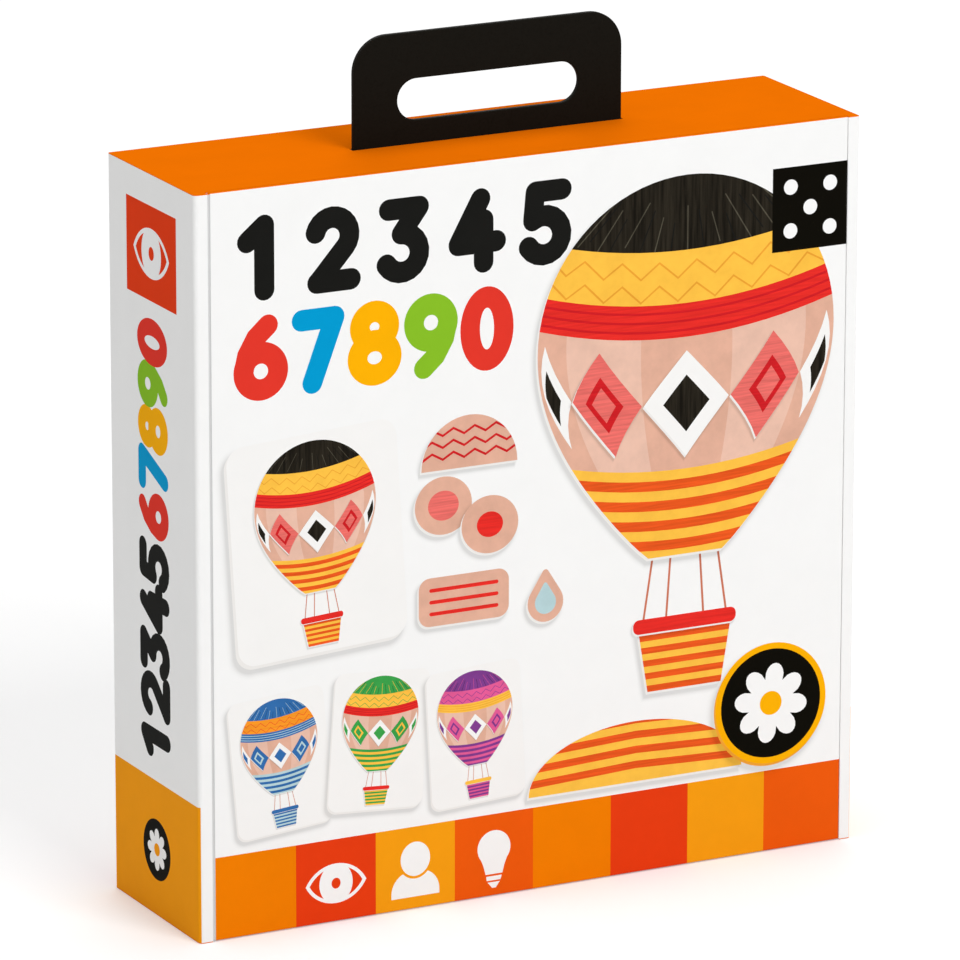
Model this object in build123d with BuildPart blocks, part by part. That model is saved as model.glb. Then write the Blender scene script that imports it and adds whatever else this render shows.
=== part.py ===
from build123d import *
from math import acos, cos, sin
import os

# A children's picture building game in an upright carry box.
# The box stands on its bottom, centred on the origin: X runs to the right of the printed front,
# Y runs to the back and Z runs up. All sizes are millimetres.

# Outside of the box
box_width = 242.0
box_depth = 65.0
box_height = 250.0

# Materials in the sheet
board = 1.5
wrap = 0.25
lining = 0.2

# Folded vertical corners, measured outside the paper
hinge_corner_radius = 1.6
plain_corner_radius = 0.6

# Front cover and the fixed strips at both sides of it
hinge_strip = 4.7
hinge_gap = 1.0
closure_strip_width = 4.3
closure_gap = 0.3
cover_seat = 0.25
cover_foot = 0.3
lining_margin = 1.0

# Magnets that hold the cover shut
closure_lip_width = 14.0
magnet_radius = 4.5
magnet_thickness = 1.0
magnet_fit = 0.1
magnet_inset = 6.2
magnet_heights = (70.0, 180.0)

# Carrying handle: a flat plate that slides down through a slot in the top
handle_width = 98.0
handle_thickness = 2.0
handle_reach = 37.0
handle_corner_radius = 12.0
handle_edge_round = 0.4
finger_hole_width = 66.2
finger_hole_height = 13.7
finger_hole_rim = 15.5
shoulder_width = 10.0
shoulder_height = 12.0
shoulder_corner_radius = 3.0
shoulder_clearance = 0.3
handle_travel = 32.0
slot_side_clearance = 0.5
slot_face_clearance = 0.3

# Card insert that holds the game
card = 0.8
insert_fit = 0.3
insert_setback = 0.3

# Picture cards
card_width = 62.0
card_height = 74.0
card_thickness = 1.2
card_corner_radius = 6.0
card_count = 24
card_side_gap = 4.0
card_head_room = 6.0
card_front_room = 5.0

# Die-cut picture pieces; the gaps are the room round each stack in its well
piece_thickness = 2.0
stack_air = 0.05
disc_radius = 13.5
disc_count = 12
disc_gap = 5.0
disc_head_room = 5.0
bar_width = 58.0
bar_corner_radius = 5.0
bar_rows = 3
bar_count = 8
bar_head_room = 14.5
drop_radius = 11.0
drop_height = 30.0
drop_tip_radius = 2.0
drop_count = 8
drop_side_gap = 3.0
round_board_count = 4
round_side_gap = 9.0
round_head_room = 13.5
dome_radius = 36.0
dome_count = 7
dome_side_gap = 4.5
base_height = 42.0
base_taper = 6.0
base_corner_radius = 4.0
base_count = 8
base_side_gap = 5.0
lower_head_room = 6.0

# Folded rules sheet
leaflet_width = 105.0
leaflet_head_room = 3.5
leaflet_thickness = 0.6
leaflet_gap = 0.4

# Faces and edges of the closed box
left = -box_width / 2
right = box_width / 2
front = -box_depth / 2
back = box_depth / 2
cover_thickness = wrap + board + lining
rim = front + cover_thickness + cover_seat
lip_end = left + hinge_strip
cover_left = lip_end + hinge_gap
cover_right = right - closure_strip_width
strip_start = cover_right + closure_gap
room_left = left + wrap + board
room_right = right - wrap - board
room_back = back - wrap - board
room_bottom = wrap + board
room_top = box_height - wrap - board
magnet_x = cover_right - magnet_inset

# Levels of the handle and of the card insert
hole_z = box_height + handle_reach - finger_hole_rim - finger_hole_height / 2
shoulder_top = room_top - shoulder_clearance
shoulder_bottom = shoulder_top - shoulder_height
shelf_top = shoulder_bottom - handle_travel - shoulder_clearance
insert_left = room_left + insert_fit
insert_right = room_right - insert_fit
insert_front = rim + board + insert_setback
insert_back = room_back - insert_fit
well_floor = room_bottom + card
well_ceiling = shelf_top - card
wells_left = insert_left + card
wells_right = insert_right - card

# Wells, sized by the stacks that stand in them
well_back = insert_front + card_count * (card_thickness + stack_air) + card_front_room
upright_x = wells_left + card_width + 2 * card_side_gap
right_column = upright_x + card
disc_floor = well_floor + card_height + card_head_room + card
bar_floor = disc_floor + 2 * disc_radius + disc_head_room + card
round_floor = well_floor + max(base_height, dome_radius) + lower_head_room + card
split_x = wells_right - 2 * (dome_radius + dome_side_gap) - card
left_well_x = (wells_left + upright_x) / 2
base_well_x = (right_column + split_x) / 2
dome_well_x = wells_right - dome_side_gap - dome_radius

# Pieces that fill what their well leaves
bar_pitch = (well_ceiling - bar_floor - bar_head_room) / bar_rows
bar_height = bar_pitch - stack_air
base_width = split_x - right_column - 2 * base_side_gap
drop_x = wells_right - drop_side_gap - drop_radius
round_width = drop_x - drop_radius - right_column - 2 * round_side_gap
round_height = well_ceiling - round_floor - round_head_room
round_x = right_column + round_side_gap + round_width / 2
leaflet_height = well_ceiling - round_floor - leaflet_head_room


def block(low, high):
    """Box between two opposite corners, inside the open part."""
    with Locations(low):
        Box(*[h - l for l, h in zip(low, high)], align=(Align.MIN, Align.MIN, Align.MIN))


def outline(margin):
    """Plan of the box, drawn in from its paper by the margin."""
    with BuildSketch() as plan:
        with BuildLine():
            FilletPolyline(
                (left + margin, front + margin),
                (right - margin, front + margin),
                (right - margin, back - margin),
                (left + margin, back - margin),
                radius=[hinge_corner_radius - margin] + 3 * [plain_corner_radius - margin],
                close=True,
            )
        make_face()
    return plan.sketch


def cover_notch():
    """Plan of the place that the cover takes up between the strips at its sides."""
    with BuildSketch() as plan:
        with BuildLine():
            Polyline(
                (lip_end, front - board),
                (strip_start, front - board),
                (strip_start, rim),
                (lip_end, rim),
                close=True,
            )
        make_face()
    return plan.sketch


def handle_slot():
    """Plan of the slot that the handle slides through."""
    with BuildSketch() as plan:
        Rectangle(
            handle_width + 2 * slot_side_clearance,
            handle_thickness + 2 * slot_face_clearance,
        )
    return plan.sketch


def stack_planes(count, thickness):
    """Upright planes, one for the front face of each piece of a stack that leans on the deck."""
    pitch = thickness + stack_air
    return [Plane.XZ.offset(-(well_back - stack_air - i * pitch)) for i in range(count)]


def save(part, name):
    """Label a finished piece and write it under its own name."""
    part.part.label = name
    export_step(part.part, f"parts/{name}.step")


os.makedirs("parts", exist_ok=True)

# Boards of the tray
with BuildPart() as spine_board:
    block((left + wrap, front + wrap, wrap), (room_left, back - wrap, box_height - wrap))
    back_edge = spine_board.edges().filter_by(Axis.Z).group_by(Axis.X)[0].sort_by(Axis.Y)[-1]
    fillet(back_edge, plain_corner_radius - wrap)
    front_edge = spine_board.edges().filter_by(Axis.Z).group_by(Axis.X)[0].sort_by(Axis.Y)[0]
    fillet(front_edge, hinge_corner_radius - wrap)
save(spine_board, "spine_board")

with BuildPart() as right_board:
    block((room_right, front + wrap, wrap), (right - wrap, back - wrap, box_height - wrap))
    fillet(right_board.edges().filter_by(Axis.Z).group_by(Axis.X)[-1], plain_corner_radius - wrap)
save(right_board, "right_board")

with BuildPart() as back_board:
    block((room_left, room_back, wrap), (room_right, back - wrap, box_height - wrap))
save(back_board, "back_board")

with BuildPart() as bottom_board:
    block((room_left, rim, wrap), (room_right, room_back, room_bottom))
save(bottom_board, "bottom_board")

with BuildPart() as top_board:
    with BuildSketch(Plane.XY.offset(room_top)):
        with BuildLine():
            Polyline(
                (room_left, rim),
                (room_right, rim),
                (room_right, room_back),
                (room_left, room_back),
                close=True,
            )
        make_face()
        add(handle_slot(), mode=Mode.SUBTRACT)
    extrude(amount=board)
save(top_board, "top_board")

# Fixed strips beside the cover, and the lip that the cover shuts against
with BuildPart() as hinge_lip:
    block((room_left, front + wrap, wrap), (lip_end, front + wrap + board, box_height - wrap))
save(hinge_lip, "hinge_lip")

with BuildPart() as closure_strip:
    block((strip_start, front + wrap, wrap), (room_right, front + wrap + board, box_height - wrap))
save(closure_strip, "closure_strip")

with BuildPart() as closure_lip:
    block((room_right - closure_lip_width, rim, room_bottom), (room_right, rim + board, room_top))
    with BuildSketch(Plane.XZ.offset(-rim - board)):
        with Locations(*[(magnet_x, z) for z in magnet_heights]):
            Circle(magnet_radius + magnet_fit)
    extrude(amount=magnet_thickness, mode=Mode.SUBTRACT)
save(closure_lip, "closure_lip")

with BuildPart() as tray_magnets:
    with BuildSketch(Plane.XZ.offset(-rim - board)):
        with Locations(*[(magnet_x, z) for z in magnet_heights]):
            Circle(magnet_radius)
    extrude(amount=magnet_thickness)
save(tray_magnets, "tray_magnets")

# Printed papers of the tray
with BuildPart() as side_wrap:
    with BuildSketch(Plane.XY.offset(wrap)):
        add(outline(0))
        add(outline(wrap), mode=Mode.SUBTRACT)
        add(cover_notch(), mode=Mode.SUBTRACT)
    extrude(amount=box_height - 2 * wrap)
save(side_wrap, "side_wrap")

with BuildPart() as top_wrap:
    with BuildSketch(Plane.XY.offset(box_height - wrap)):
        add(outline(0))
        add(cover_notch(), mode=Mode.SUBTRACT)
        add(handle_slot(), mode=Mode.SUBTRACT)
    extrude(amount=wrap)
save(top_wrap, "top_wrap")

with BuildPart() as bottom_wrap:
    with BuildSketch(Plane.XY):
        add(outline(0))
        add(cover_notch(), mode=Mode.SUBTRACT)
    extrude(amount=wrap)
save(bottom_wrap, "bottom_wrap")

# Front cover
with BuildPart() as cover_board:
    block(
        (cover_left, front + wrap, cover_foot + wrap),
        (cover_right - wrap, front + wrap + board, box_height - wrap),
    )
    with BuildSketch(Plane.XZ.offset(-front - wrap - board)):
        with Locations(*[(magnet_x, z) for z in magnet_heights]):
            Circle(magnet_radius + magnet_fit)
    extrude(amount=magnet_thickness, mode=Mode.SUBTRACT)
save(cover_board, "cover_board")

with BuildPart() as cover_print:
    block((cover_left, front, cover_foot), (cover_right, front + wrap + board, box_height))
    with Locations((cover_left, front + wrap, cover_foot + wrap)):
        Box(
            cover_right - cover_left - wrap,
            board,
            box_height - cover_foot - 2 * wrap,
            align=(Align.MIN, Align.MIN, Align.MIN),
            mode=Mode.SUBTRACT,
        )
save(cover_print, "cover_print")

with BuildPart() as cover_lining:
    block(
        (cover_left, front + wrap + board, cover_foot + lining_margin),
        (cover_right - lining_margin, front + cover_thickness, box_height - lining_margin),
    )
save(cover_lining, "cover_lining")

with BuildPart() as cover_magnets:
    with BuildSketch(Plane.XZ.offset(-front - wrap - board)):
        with Locations(*[(magnet_x, z) for z in magnet_heights]):
            Circle(magnet_radius)
    extrude(amount=magnet_thickness)
save(cover_magnets, "cover_magnets")

# Carrying handle with shoulders that stop it under the top
with BuildPart() as handle_plate:
    with BuildSketch(Plane.XZ.offset(-handle_thickness / 2)):
        with BuildLine():
            FilletPolyline(
                (-handle_width / 2 - shoulder_width, shoulder_bottom),
                (handle_width / 2 + shoulder_width, shoulder_bottom),
                (handle_width / 2 + shoulder_width, shoulder_top),
                (handle_width / 2, shoulder_top),
                (handle_width / 2, box_height + handle_reach),
                (-handle_width / 2, box_height + handle_reach),
                (-handle_width / 2, shoulder_top),
                (-handle_width / 2 - shoulder_width, shoulder_top),
                radius=[
                    shoulder_corner_radius,
                    shoulder_corner_radius,
                    shoulder_corner_radius,
                    0,
                    handle_corner_radius,
                    handle_corner_radius,
                    0,
                    shoulder_corner_radius,
                ],
                close=True,
            )
        make_face()
        with Locations((0, hole_z)):
            SlotOverall(finger_hole_width, finger_hole_height, mode=Mode.SUBTRACT)
    extrude(amount=handle_thickness)
    fillet(handle_plate.faces().filter_by(Axis.Y).edges(), handle_edge_round)
save(handle_plate, "handle_plate")

# Card insert: shelf under the handle, floor, side walls, deck, ribs and dividers
with BuildPart() as insert_shelf:
    block((insert_left, insert_front, well_ceiling), (insert_right, insert_back, shelf_top))
save(insert_shelf, "insert_shelf")

with BuildPart() as insert_floor:
    block((insert_left, insert_front, room_bottom), (insert_right, insert_back, well_floor))
save(insert_floor, "insert_floor")

with BuildPart() as insert_sides:
    block((insert_left, insert_front, well_floor), (wells_left, insert_back, well_ceiling))
    block((wells_right, insert_front, well_floor), (insert_right, insert_back, well_ceiling))
save(insert_sides, "insert_sides")

with BuildPart() as insert_deck:
    block((wells_left, well_back, well_floor), (wells_right, well_back + card, well_ceiling))
save(insert_deck, "insert_deck")

with BuildPart() as insert_ribs:
    for rib_x in (upright_x, split_x):
        block((rib_x, well_back + card, well_floor), (rib_x + card, insert_back, well_ceiling))
save(insert_ribs, "insert_ribs")

with BuildPart() as upright_divider:
    block((upright_x, insert_front, well_floor), (upright_x + card, well_back, well_ceiling))
save(upright_divider, "upright_divider")

with BuildPart() as left_dividers:
    for shelf_z in (disc_floor, bar_floor):
        block((wells_left, insert_front, shelf_z - card), (upright_x, well_back, shelf_z))
save(left_dividers, "left_dividers")

with BuildPart() as right_divider:
    block((right_column, insert_front, round_floor - card), (wells_right, well_back, round_floor))
save(right_divider, "right_divider")

with BuildPart() as split_divider:
    block((split_x, insert_front, well_floor), (split_x + card, well_back, round_floor - card))
save(split_divider, "split_divider")

# Picture cards and die-cut pieces, each stack standing in its well and leaning on the deck
with BuildPart() as picture_cards:
    for plane in stack_planes(card_count, card_thickness):
        with BuildSketch(plane):
            with Locations((left_well_x, well_floor + card_height / 2)):
                RectangleRounded(card_width, card_height, card_corner_radius)
        extrude(amount=card_thickness)
save(picture_cards, "picture_cards")

with BuildPart() as disc_pieces:
    for plane in stack_planes(disc_count, piece_thickness):
        with BuildSketch(plane):
            with Locations((left_well_x, disc_floor + disc_radius)):
                with GridLocations(2 * disc_radius + disc_gap, 1, 2, 1):
                    Circle(disc_radius)
        extrude(amount=piece_thickness)
save(disc_pieces, "disc_pieces")

bar_places = [(left_well_x, bar_floor + bar_height / 2 + row * bar_pitch) for row in range(bar_rows)]
with BuildPart() as bar_pieces:
    for plane in stack_planes(bar_count, piece_thickness):
        with BuildSketch(plane):
            with Locations(*bar_places):
                RectangleRounded(bar_width, bar_height, bar_corner_radius)
        extrude(amount=piece_thickness)
save(bar_pieces, "bar_pieces")

with BuildPart() as dome_pieces:
    for plane in stack_planes(dome_count, piece_thickness):
        with BuildSketch(plane):
            with BuildLine():
                foot = Line((dome_well_x - dome_radius, well_floor), (dome_well_x + dome_radius, well_floor))
                ThreePointArc(foot @ 1, (dome_well_x, well_floor + dome_radius), foot @ 0)
            make_face()
        extrude(amount=piece_thickness)
save(dome_pieces, "dome_pieces")

with BuildPart() as base_pieces:
    for plane in stack_planes(base_count, piece_thickness):
        with BuildSketch(plane):
            with BuildLine():
                FilletPolyline(
                    (base_well_x - base_width / 2 + base_taper, well_floor),
                    (base_well_x + base_width / 2 - base_taper, well_floor),
                    (base_well_x + base_width / 2, well_floor + base_height),
                    (base_well_x - base_width / 2, well_floor + base_height),
                    radius=base_corner_radius,
                    close=True,
                )
            make_face()
        extrude(amount=piece_thickness)
save(base_pieces, "base_pieces")

with BuildPart() as round_boards:
    for plane in stack_planes(round_board_count, piece_thickness):
        with BuildSketch(plane):
            with Locations((round_x, round_floor + round_height / 2)):
                Ellipse(round_width / 2, round_height / 2)
        extrude(amount=piece_thickness)
save(round_boards, "round_boards")

drop_centre_z = round_floor + drop_radius
drop_tangent = acos(drop_radius / (drop_height - drop_radius))
drop_shoulder_x = drop_radius * sin(drop_tangent)
drop_shoulder_z = drop_centre_z + drop_radius * cos(drop_tangent)
with BuildPart() as drop_pieces:
    for plane in stack_planes(drop_count, piece_thickness):
        with BuildSketch(plane) as drop_plan:
            with BuildLine():
                bowl = ThreePointArc(
                    (drop_x - drop_shoulder_x, drop_shoulder_z),
                    (drop_x, round_floor),
                    (drop_x + drop_shoulder_x, drop_shoulder_z),
                )
                Polyline(bowl @ 1, (drop_x, round_floor + drop_height), bowl @ 0)
            make_face()
            fillet(drop_plan.vertices().sort_by(Axis.Y)[-1], drop_tip_radius)
        extrude(amount=piece_thickness)
save(drop_pieces, "drop_pieces")

# Folded rules sheet in front of the round boards
leaflet_back = well_back - round_board_count * (piece_thickness + stack_air) - leaflet_gap
with BuildPart() as rules_leaflet:
    block(
        (round_x - leaflet_width / 2, leaflet_back - leaflet_thickness, round_floor),
        (round_x + leaflet_width / 2, leaflet_back, round_floor + leaflet_height),
    )
save(rules_leaflet, "rules_leaflet")
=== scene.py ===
import logging
import math
from dataclasses import dataclass, field
from enum import Enum
from typing import Callable, ClassVar, Iterable, Optional, Sequence

import bmesh
import bpy
from mathutils import Matrix, Vector
from mathutils.geometry import delaunay_2d_cdt


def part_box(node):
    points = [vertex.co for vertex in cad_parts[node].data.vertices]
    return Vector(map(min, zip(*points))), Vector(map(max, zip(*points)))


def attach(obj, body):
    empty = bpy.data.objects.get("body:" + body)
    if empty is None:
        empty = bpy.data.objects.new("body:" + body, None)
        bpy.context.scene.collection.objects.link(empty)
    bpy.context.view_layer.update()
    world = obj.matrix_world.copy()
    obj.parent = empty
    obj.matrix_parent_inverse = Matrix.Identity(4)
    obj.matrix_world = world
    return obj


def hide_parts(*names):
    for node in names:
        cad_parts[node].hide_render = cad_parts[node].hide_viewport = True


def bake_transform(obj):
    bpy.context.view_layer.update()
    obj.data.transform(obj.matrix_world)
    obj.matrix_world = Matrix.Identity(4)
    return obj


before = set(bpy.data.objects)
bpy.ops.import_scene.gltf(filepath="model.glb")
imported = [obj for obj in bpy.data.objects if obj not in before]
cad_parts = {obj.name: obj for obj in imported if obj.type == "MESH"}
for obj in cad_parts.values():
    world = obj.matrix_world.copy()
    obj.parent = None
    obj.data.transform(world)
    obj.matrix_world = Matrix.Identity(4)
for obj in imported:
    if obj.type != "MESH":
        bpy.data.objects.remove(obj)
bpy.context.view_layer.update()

LOG = logging.getLogger("picture_game_box")

MM = 0.001
CUT_REACH = 1.0
Pair = tuple[float, float]
Point = Pair
Triple = tuple[float, float, float]
Values = tuple[float, ...]
Outline = list[Point]
Colour = tuple[float, float, float, float]
Socket = bpy.types.NodeSocket


def srgb(red: int, green: int, blue: int) -> Colour:
    """Turn a print colour given in 0 to 255 steps into the linear colour of a shader socket.

    Args:
        red: Red step.
        green: Green step.
        blue: Blue step.

    Returns:
        Linear red, green, blue and an alpha of 1.
    """
    def linear(step: int) -> float:
        """Linear value of one step."""
        value = step / 255
        return value / 12.92 if value <= 0.04045 else ((value + 0.055) / 1.055) ** 2.4

    return (linear(red), linear(green), linear(blue), 1.0)


class Grain(Enum):
    """How the ink lies on the paper."""

    SMOOTH = "smooth"
    CLOUDY = "cloudy"
    STREAKS = "streaks"
    BRUSHED = "brushed"


class NodeSheet:
    """Small helper that adds and joins the shader nodes of one material."""

    def __init__(self, name: str) -> None:
        """Start an empty material with a Principled shader.

        Args:
            name: Name of the material.
        """
        self.material = bpy.data.materials.new(name)
        self.material.use_nodes = True
        self.tree = self.material.node_tree
        self.shader = self.tree.nodes["Principled BSDF"]

    def add(self, kind: str, **settings: object) -> bpy.types.Node:
        """Add a node.

        Args:
            kind: Blender's name of the node type.
            settings: Properties set on the node.

        Returns:
            The new node.
        """
        node = self.tree.nodes.new(kind)
        for key, value in settings.items():
            setattr(node, key, value)
        return node

    def join(self, source: Socket, target: Socket) -> None:
        """Link two sockets."""
        self.tree.links.new(source, target)

    def place(self, scale: Sequence[float], turn: float = 0.0) -> Socket:
        """Object coordinates, stretched and turned about the Y axis.

        Args:
            scale: Stretch along X, Y and Z, in cycles per metre.
            turn: Angle about Y in degrees.

        Returns:
            The vector socket.
        """
        coordinates = self.add("ShaderNodeTexCoord")
        mapping = self.add("ShaderNodeMapping")
        mapping.inputs["Rotation"].default_value = (0.0, math.radians(turn), 0.0)
        mapping.inputs["Scale"].default_value = scale
        self.join(coordinates.outputs["Object"], mapping.inputs["Vector"])
        return mapping.outputs["Vector"]

    def noise(self, vector: Socket, detail: float, roughness: float = 0.5) -> Socket:
        """Noise of scale 1 on the given coordinates.

        Args:
            vector: Coordinates.
            detail: Number of finer layers.
            roughness: Weight of the finer layers.

        Returns:
            The grey socket.
        """
        node = self.add("ShaderNodeTexNoise")
        node.inputs["Scale"].default_value = 1.0
        node.inputs["Detail"].default_value = detail
        node.inputs["Roughness"].default_value = roughness
        self.join(vector, node.inputs["Vector"])
        return node.outputs["Fac"]

    def ramp(self, value: Socket, stops: Sequence[tuple[float, Colour]]) -> Socket:
        """Colour ramp over a grey value.

        Args:
            value: The grey socket.
            stops: Pairs of position and linear colour.

        Returns:
            The colour socket.
        """
        node = self.add("ShaderNodeValToRGB")
        elements = node.color_ramp.elements
        while len(elements) < len(stops):
            elements.new(0.5)
        for element, (position, colour) in zip(elements, stops):
            element.position = position
            element.color = colour
        self.join(value, node.inputs["Fac"])
        return node.outputs["Color"]

    def bump(self, height: Socket, distance: float, strength: float) -> None:
        """Give the shader a bump.

        Args:
            height: Grey height.
            distance: Height of the bump in metres.
            strength: How strongly it shows.
        """
        node = self.add("ShaderNodeBump")
        node.inputs["Distance"].default_value = distance
        node.inputs["Strength"].default_value = strength
        self.join(height, node.inputs["Height"])
        self.join(node.outputs["Normal"], self.shader.inputs["Normal"])


@dataclass(frozen=True)
class PrintInk:
    """Coated print paper in one colour, with the grain of the painted artwork.

    The stretches are cycles per metre of the ink's tone along X, Y and Z.
    """

    STRETCHES: ClassVar[dict[Grain, Triple]] = {
        Grain.SMOOTH: (60.0, 60.0, 60.0),
        Grain.CLOUDY: (140.0, 140.0, 140.0),
        Grain.STREAKS: (900.0, 900.0, 45.0),
        Grain.BRUSHED: (60.0, 700.0, 1400.0),
    }
    TONE_DETAIL: ClassVar[float] = 4.0
    TONE_ROUGHNESS: ClassVar[float] = 0.6
    TONE_SPREAD: ClassVar[Pair] = (0.34, 0.66)
    SHADOW_TINT: ClassVar[Colour] = (0.30, 0.29, 0.28, 1.0)
    TOOTH: ClassVar[Triple] = (900.0, 900.0, 900.0)
    TOOTH_DETAIL: ClassVar[float] = 3.0
    TOOTH_HEIGHT: ClassVar[float] = 0.00004
    TOOTH_STRENGTH: ClassVar[float] = 0.25

    name: str
    colour: Colour
    grain: Grain = Grain.SMOOTH
    depth: float = 0.04
    roughness: float = 0.6
    gloss: float = 0.02

    def material(self) -> bpy.types.Material:
        """Build the material, or return the one made before.

        Returns:
            The ink's material.
        """
        made = bpy.data.materials.get(self.name)
        if made is not None:
            return made
        sheet = NodeSheet(self.name)
        place = sheet.place(self.STRETCHES[self.grain])
        tone = sheet.noise(place, self.TONE_DETAIL, self.TONE_ROUGHNESS)
        darker = tuple(c * (1 - self.depth) for c in self.colour[:3]) + (1.0,)
        lighter = tuple(min(1.0, c * (1 + self.depth)) for c in self.colour[:3]) + (1.0,)
        colour = sheet.ramp(tone, tuple(zip(self.TONE_SPREAD, (darker, lighter))))
        shade = sheet.add("ShaderNodeAttribute", attribute_name="shadow")
        darken = sheet.add("ShaderNodeMix", data_type="RGBA", blend_type="MULTIPLY")
        sheet.join(shade.outputs["Fac"], darken.inputs["Factor"])
        sheet.join(colour, darken.inputs["A"])
        darken.inputs["B"].default_value = self.SHADOW_TINT
        sheet.join(darken.outputs["Result"], sheet.shader.inputs["Base Color"])
        sheet.shader.inputs["Roughness"].default_value = self.roughness
        sheet.shader.inputs["Specular IOR Level"].default_value = self.gloss
        tooth = sheet.noise(sheet.place(self.TOOTH), self.TOOTH_DETAIL)
        sheet.bump(tooth, self.TOOTH_HEIGHT, self.TOOTH_STRENGTH)
        return sheet.material


@dataclass(frozen=True)
class Plain:
    """Finish of an unprinted piece: board or card with fibres, grained plastic or plated metal."""

    FIBRE_TURN: ClassVar[float] = 20.0
    FIBRE_DETAIL: ClassVar[float] = 5.0
    FIBRE_ROUGHNESS: ClassVar[float] = 0.7
    FLECK_EDGE: ClassVar[float] = 0.12
    RELIEF_STRENGTH: ClassVar[float] = 0.35

    name: str
    colour: Colour
    flecks: Colour
    fleck_end: float = 0.375
    grain: Triple = (2600.0, 900.0, 1100.0)
    roughness: float = 0.85
    gloss: float = 0.05
    metal: float = 0.0
    relief: float = 0.00006

    def material(self) -> bpy.types.Material:
        """Build the material, or return the one made before.

        Returns:
            The finish's material.
        """
        made = bpy.data.materials.get(self.name)
        if made is not None:
            return made
        sheet = NodeSheet(self.name)
        place = sheet.place(self.grain, self.FIBRE_TURN)
        fibres = sheet.noise(place, self.FIBRE_DETAIL, self.FIBRE_ROUGHNESS)
        end = self.fleck_end
        colour = sheet.ramp(fibres, ((end, self.flecks), (end + self.FLECK_EDGE, self.colour)))
        sheet.join(colour, sheet.shader.inputs["Base Color"])
        sheet.shader.inputs["Roughness"].default_value = self.roughness
        sheet.shader.inputs["Specular IOR Level"].default_value = self.gloss
        sheet.shader.inputs["Metallic"].default_value = self.metal
        sheet.bump(fibres, self.relief, self.RELIEF_STRENGTH)
        return sheet.material


class Ink:
    """The colours of the print."""

    WHITE = PrintInk("white_print_paper", srgb(246, 246, 245), depth=0.008)
    CARD = PrintInk("white_card_print", srgb(245, 244, 242), depth=0.008)
    EDGE = PrintInk("printed_board_edge", srgb(236, 234, 231), depth=0.01)
    # Grey of the hinge crease: painted shade of the groove, on paper that is white like the rest of the wrap.
    CREASE = PrintInk("hinge_crease_painted_shade", srgb(214, 214, 214), depth=0.02)
    TOP_ORANGE = PrintInk("top_orange_paper", srgb(238, 114, 2), depth=0.015, roughness=0.8, gloss=0.0)
    ORANGE = PrintInk("band_orange", srgb(240, 126, 0), depth=0.02)
    VERMILION = PrintInk("band_vermilion", srgb(229, 61, 17), depth=0.02)
    AMBER = PrintInk("band_amber", srgb(245, 157, 18), depth=0.02)
    DEEP_ORANGE = PrintInk("band_deep_orange", srgb(235, 90, 12), depth=0.02)
    BLACK = PrintInk("black_print", srgb(25, 25, 23), depth=0.06)
    DEEP_BLACK = PrintInk("deep_black_print", srgb(12, 10, 5), depth=0.06)
    RED = PrintInk("title_red", srgb(226, 56, 43), depth=0.02)
    BLUE = PrintInk("title_blue", srgb(2, 154, 208), depth=0.02)
    YELLOW = PrintInk("title_yellow", srgb(251, 177, 4), depth=0.02)
    GREEN = PrintInk("title_green", srgb(135, 189, 40), depth=0.02)
    PEACH = PrintInk("peach_paint", srgb(224, 174, 151), Grain.CLOUDY, 0.06)
    PALE_PEACH = PrintInk("pale_peach_paint", srgb(232, 190, 170), Grain.CLOUDY, 0.05)
    TAN = PrintInk("tan_paint", srgb(202, 116, 88), Grain.CLOUDY, 0.08)
    SOOT = PrintInk("soot_streaks", srgb(36, 32, 25), Grain.STREAKS, 0.55)
    STRAW = PrintInk("straw_paint", srgb(253, 193, 71), Grain.CLOUDY, 0.05)
    OCHRE = PrintInk("ochre_line", srgb(236, 160, 52), Grain.CLOUDY, 0.06)
    TANGERINE = PrintInk("tangerine_paint", srgb(247, 150, 40), Grain.BRUSHED, 0.10)
    PAPRIKA = PrintInk("paprika_paint", srgb(232, 88, 32), Grain.BRUSHED, 0.12)
    SOOT_LINE = PrintInk("soot_highlight", srgb(78, 74, 62), Grain.STREAKS, 0.3)
    SCARLET = PrintInk("scarlet_paint", srgb(229, 46, 40), Grain.BRUSHED, 0.10)
    CRIMSON = PrintInk("crimson_line", srgb(205, 32, 38), Grain.BRUSHED, 0.10)
    ROSE = PrintInk("rose_paint", srgb(231, 110, 103), Grain.BRUSHED, 0.14)
    SKY = PrintInk("sky_paint", srgb(52, 109, 172), Grain.CLOUDY, 0.08)
    PALE_BLUE = PrintInk("pale_blue_paint", srgb(183, 211, 215), Grain.CLOUDY, 0.05)
    LEAF = PrintInk("leaf_paint", srgb(60, 160, 75), Grain.CLOUDY, 0.08)
    PLUM = PrintInk("plum_paint", srgb(126, 62, 140), Grain.CLOUDY, 0.08)
    PINK = PrintInk("pink_paint", srgb(226, 92, 150), Grain.CLOUDY, 0.08)


EVEN_GRAIN = (1500.0, 1500.0, 1500.0)
GREY_BOARD = Plain("grey_board", srgb(172, 166, 156), srgb(120, 112, 102))
PIECE_CORE = Plain("die_cut_core", srgb(196, 186, 172), srgb(150, 138, 122))
INSERT_CARD = Plain(
    "white_insert_card", srgb(238, 236, 231), srgb(226, 223, 217), 0.425, roughness=0.7, relief=0.00002,
)
LINING_PAPER = Plain(
    "lining_paper", srgb(240, 239, 236), srgb(230, 228, 224), 0.425, roughness=0.75, relief=0.00002,
)
HANDLE_SHEET = Plain(
    "black_handle_sheet", srgb(18, 16, 11), srgb(13, 11, 6), grain=EVEN_GRAIN, roughness=0.6, relief=0.00005,
)
NICKEL = Plain(
    "nickel_plate", srgb(200, 200, 203), srgb(176, 176, 180), grain=EVEN_GRAIN,
    roughness=0.28, gloss=0.5, metal=1.0, relief=0.00001,
)


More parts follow.
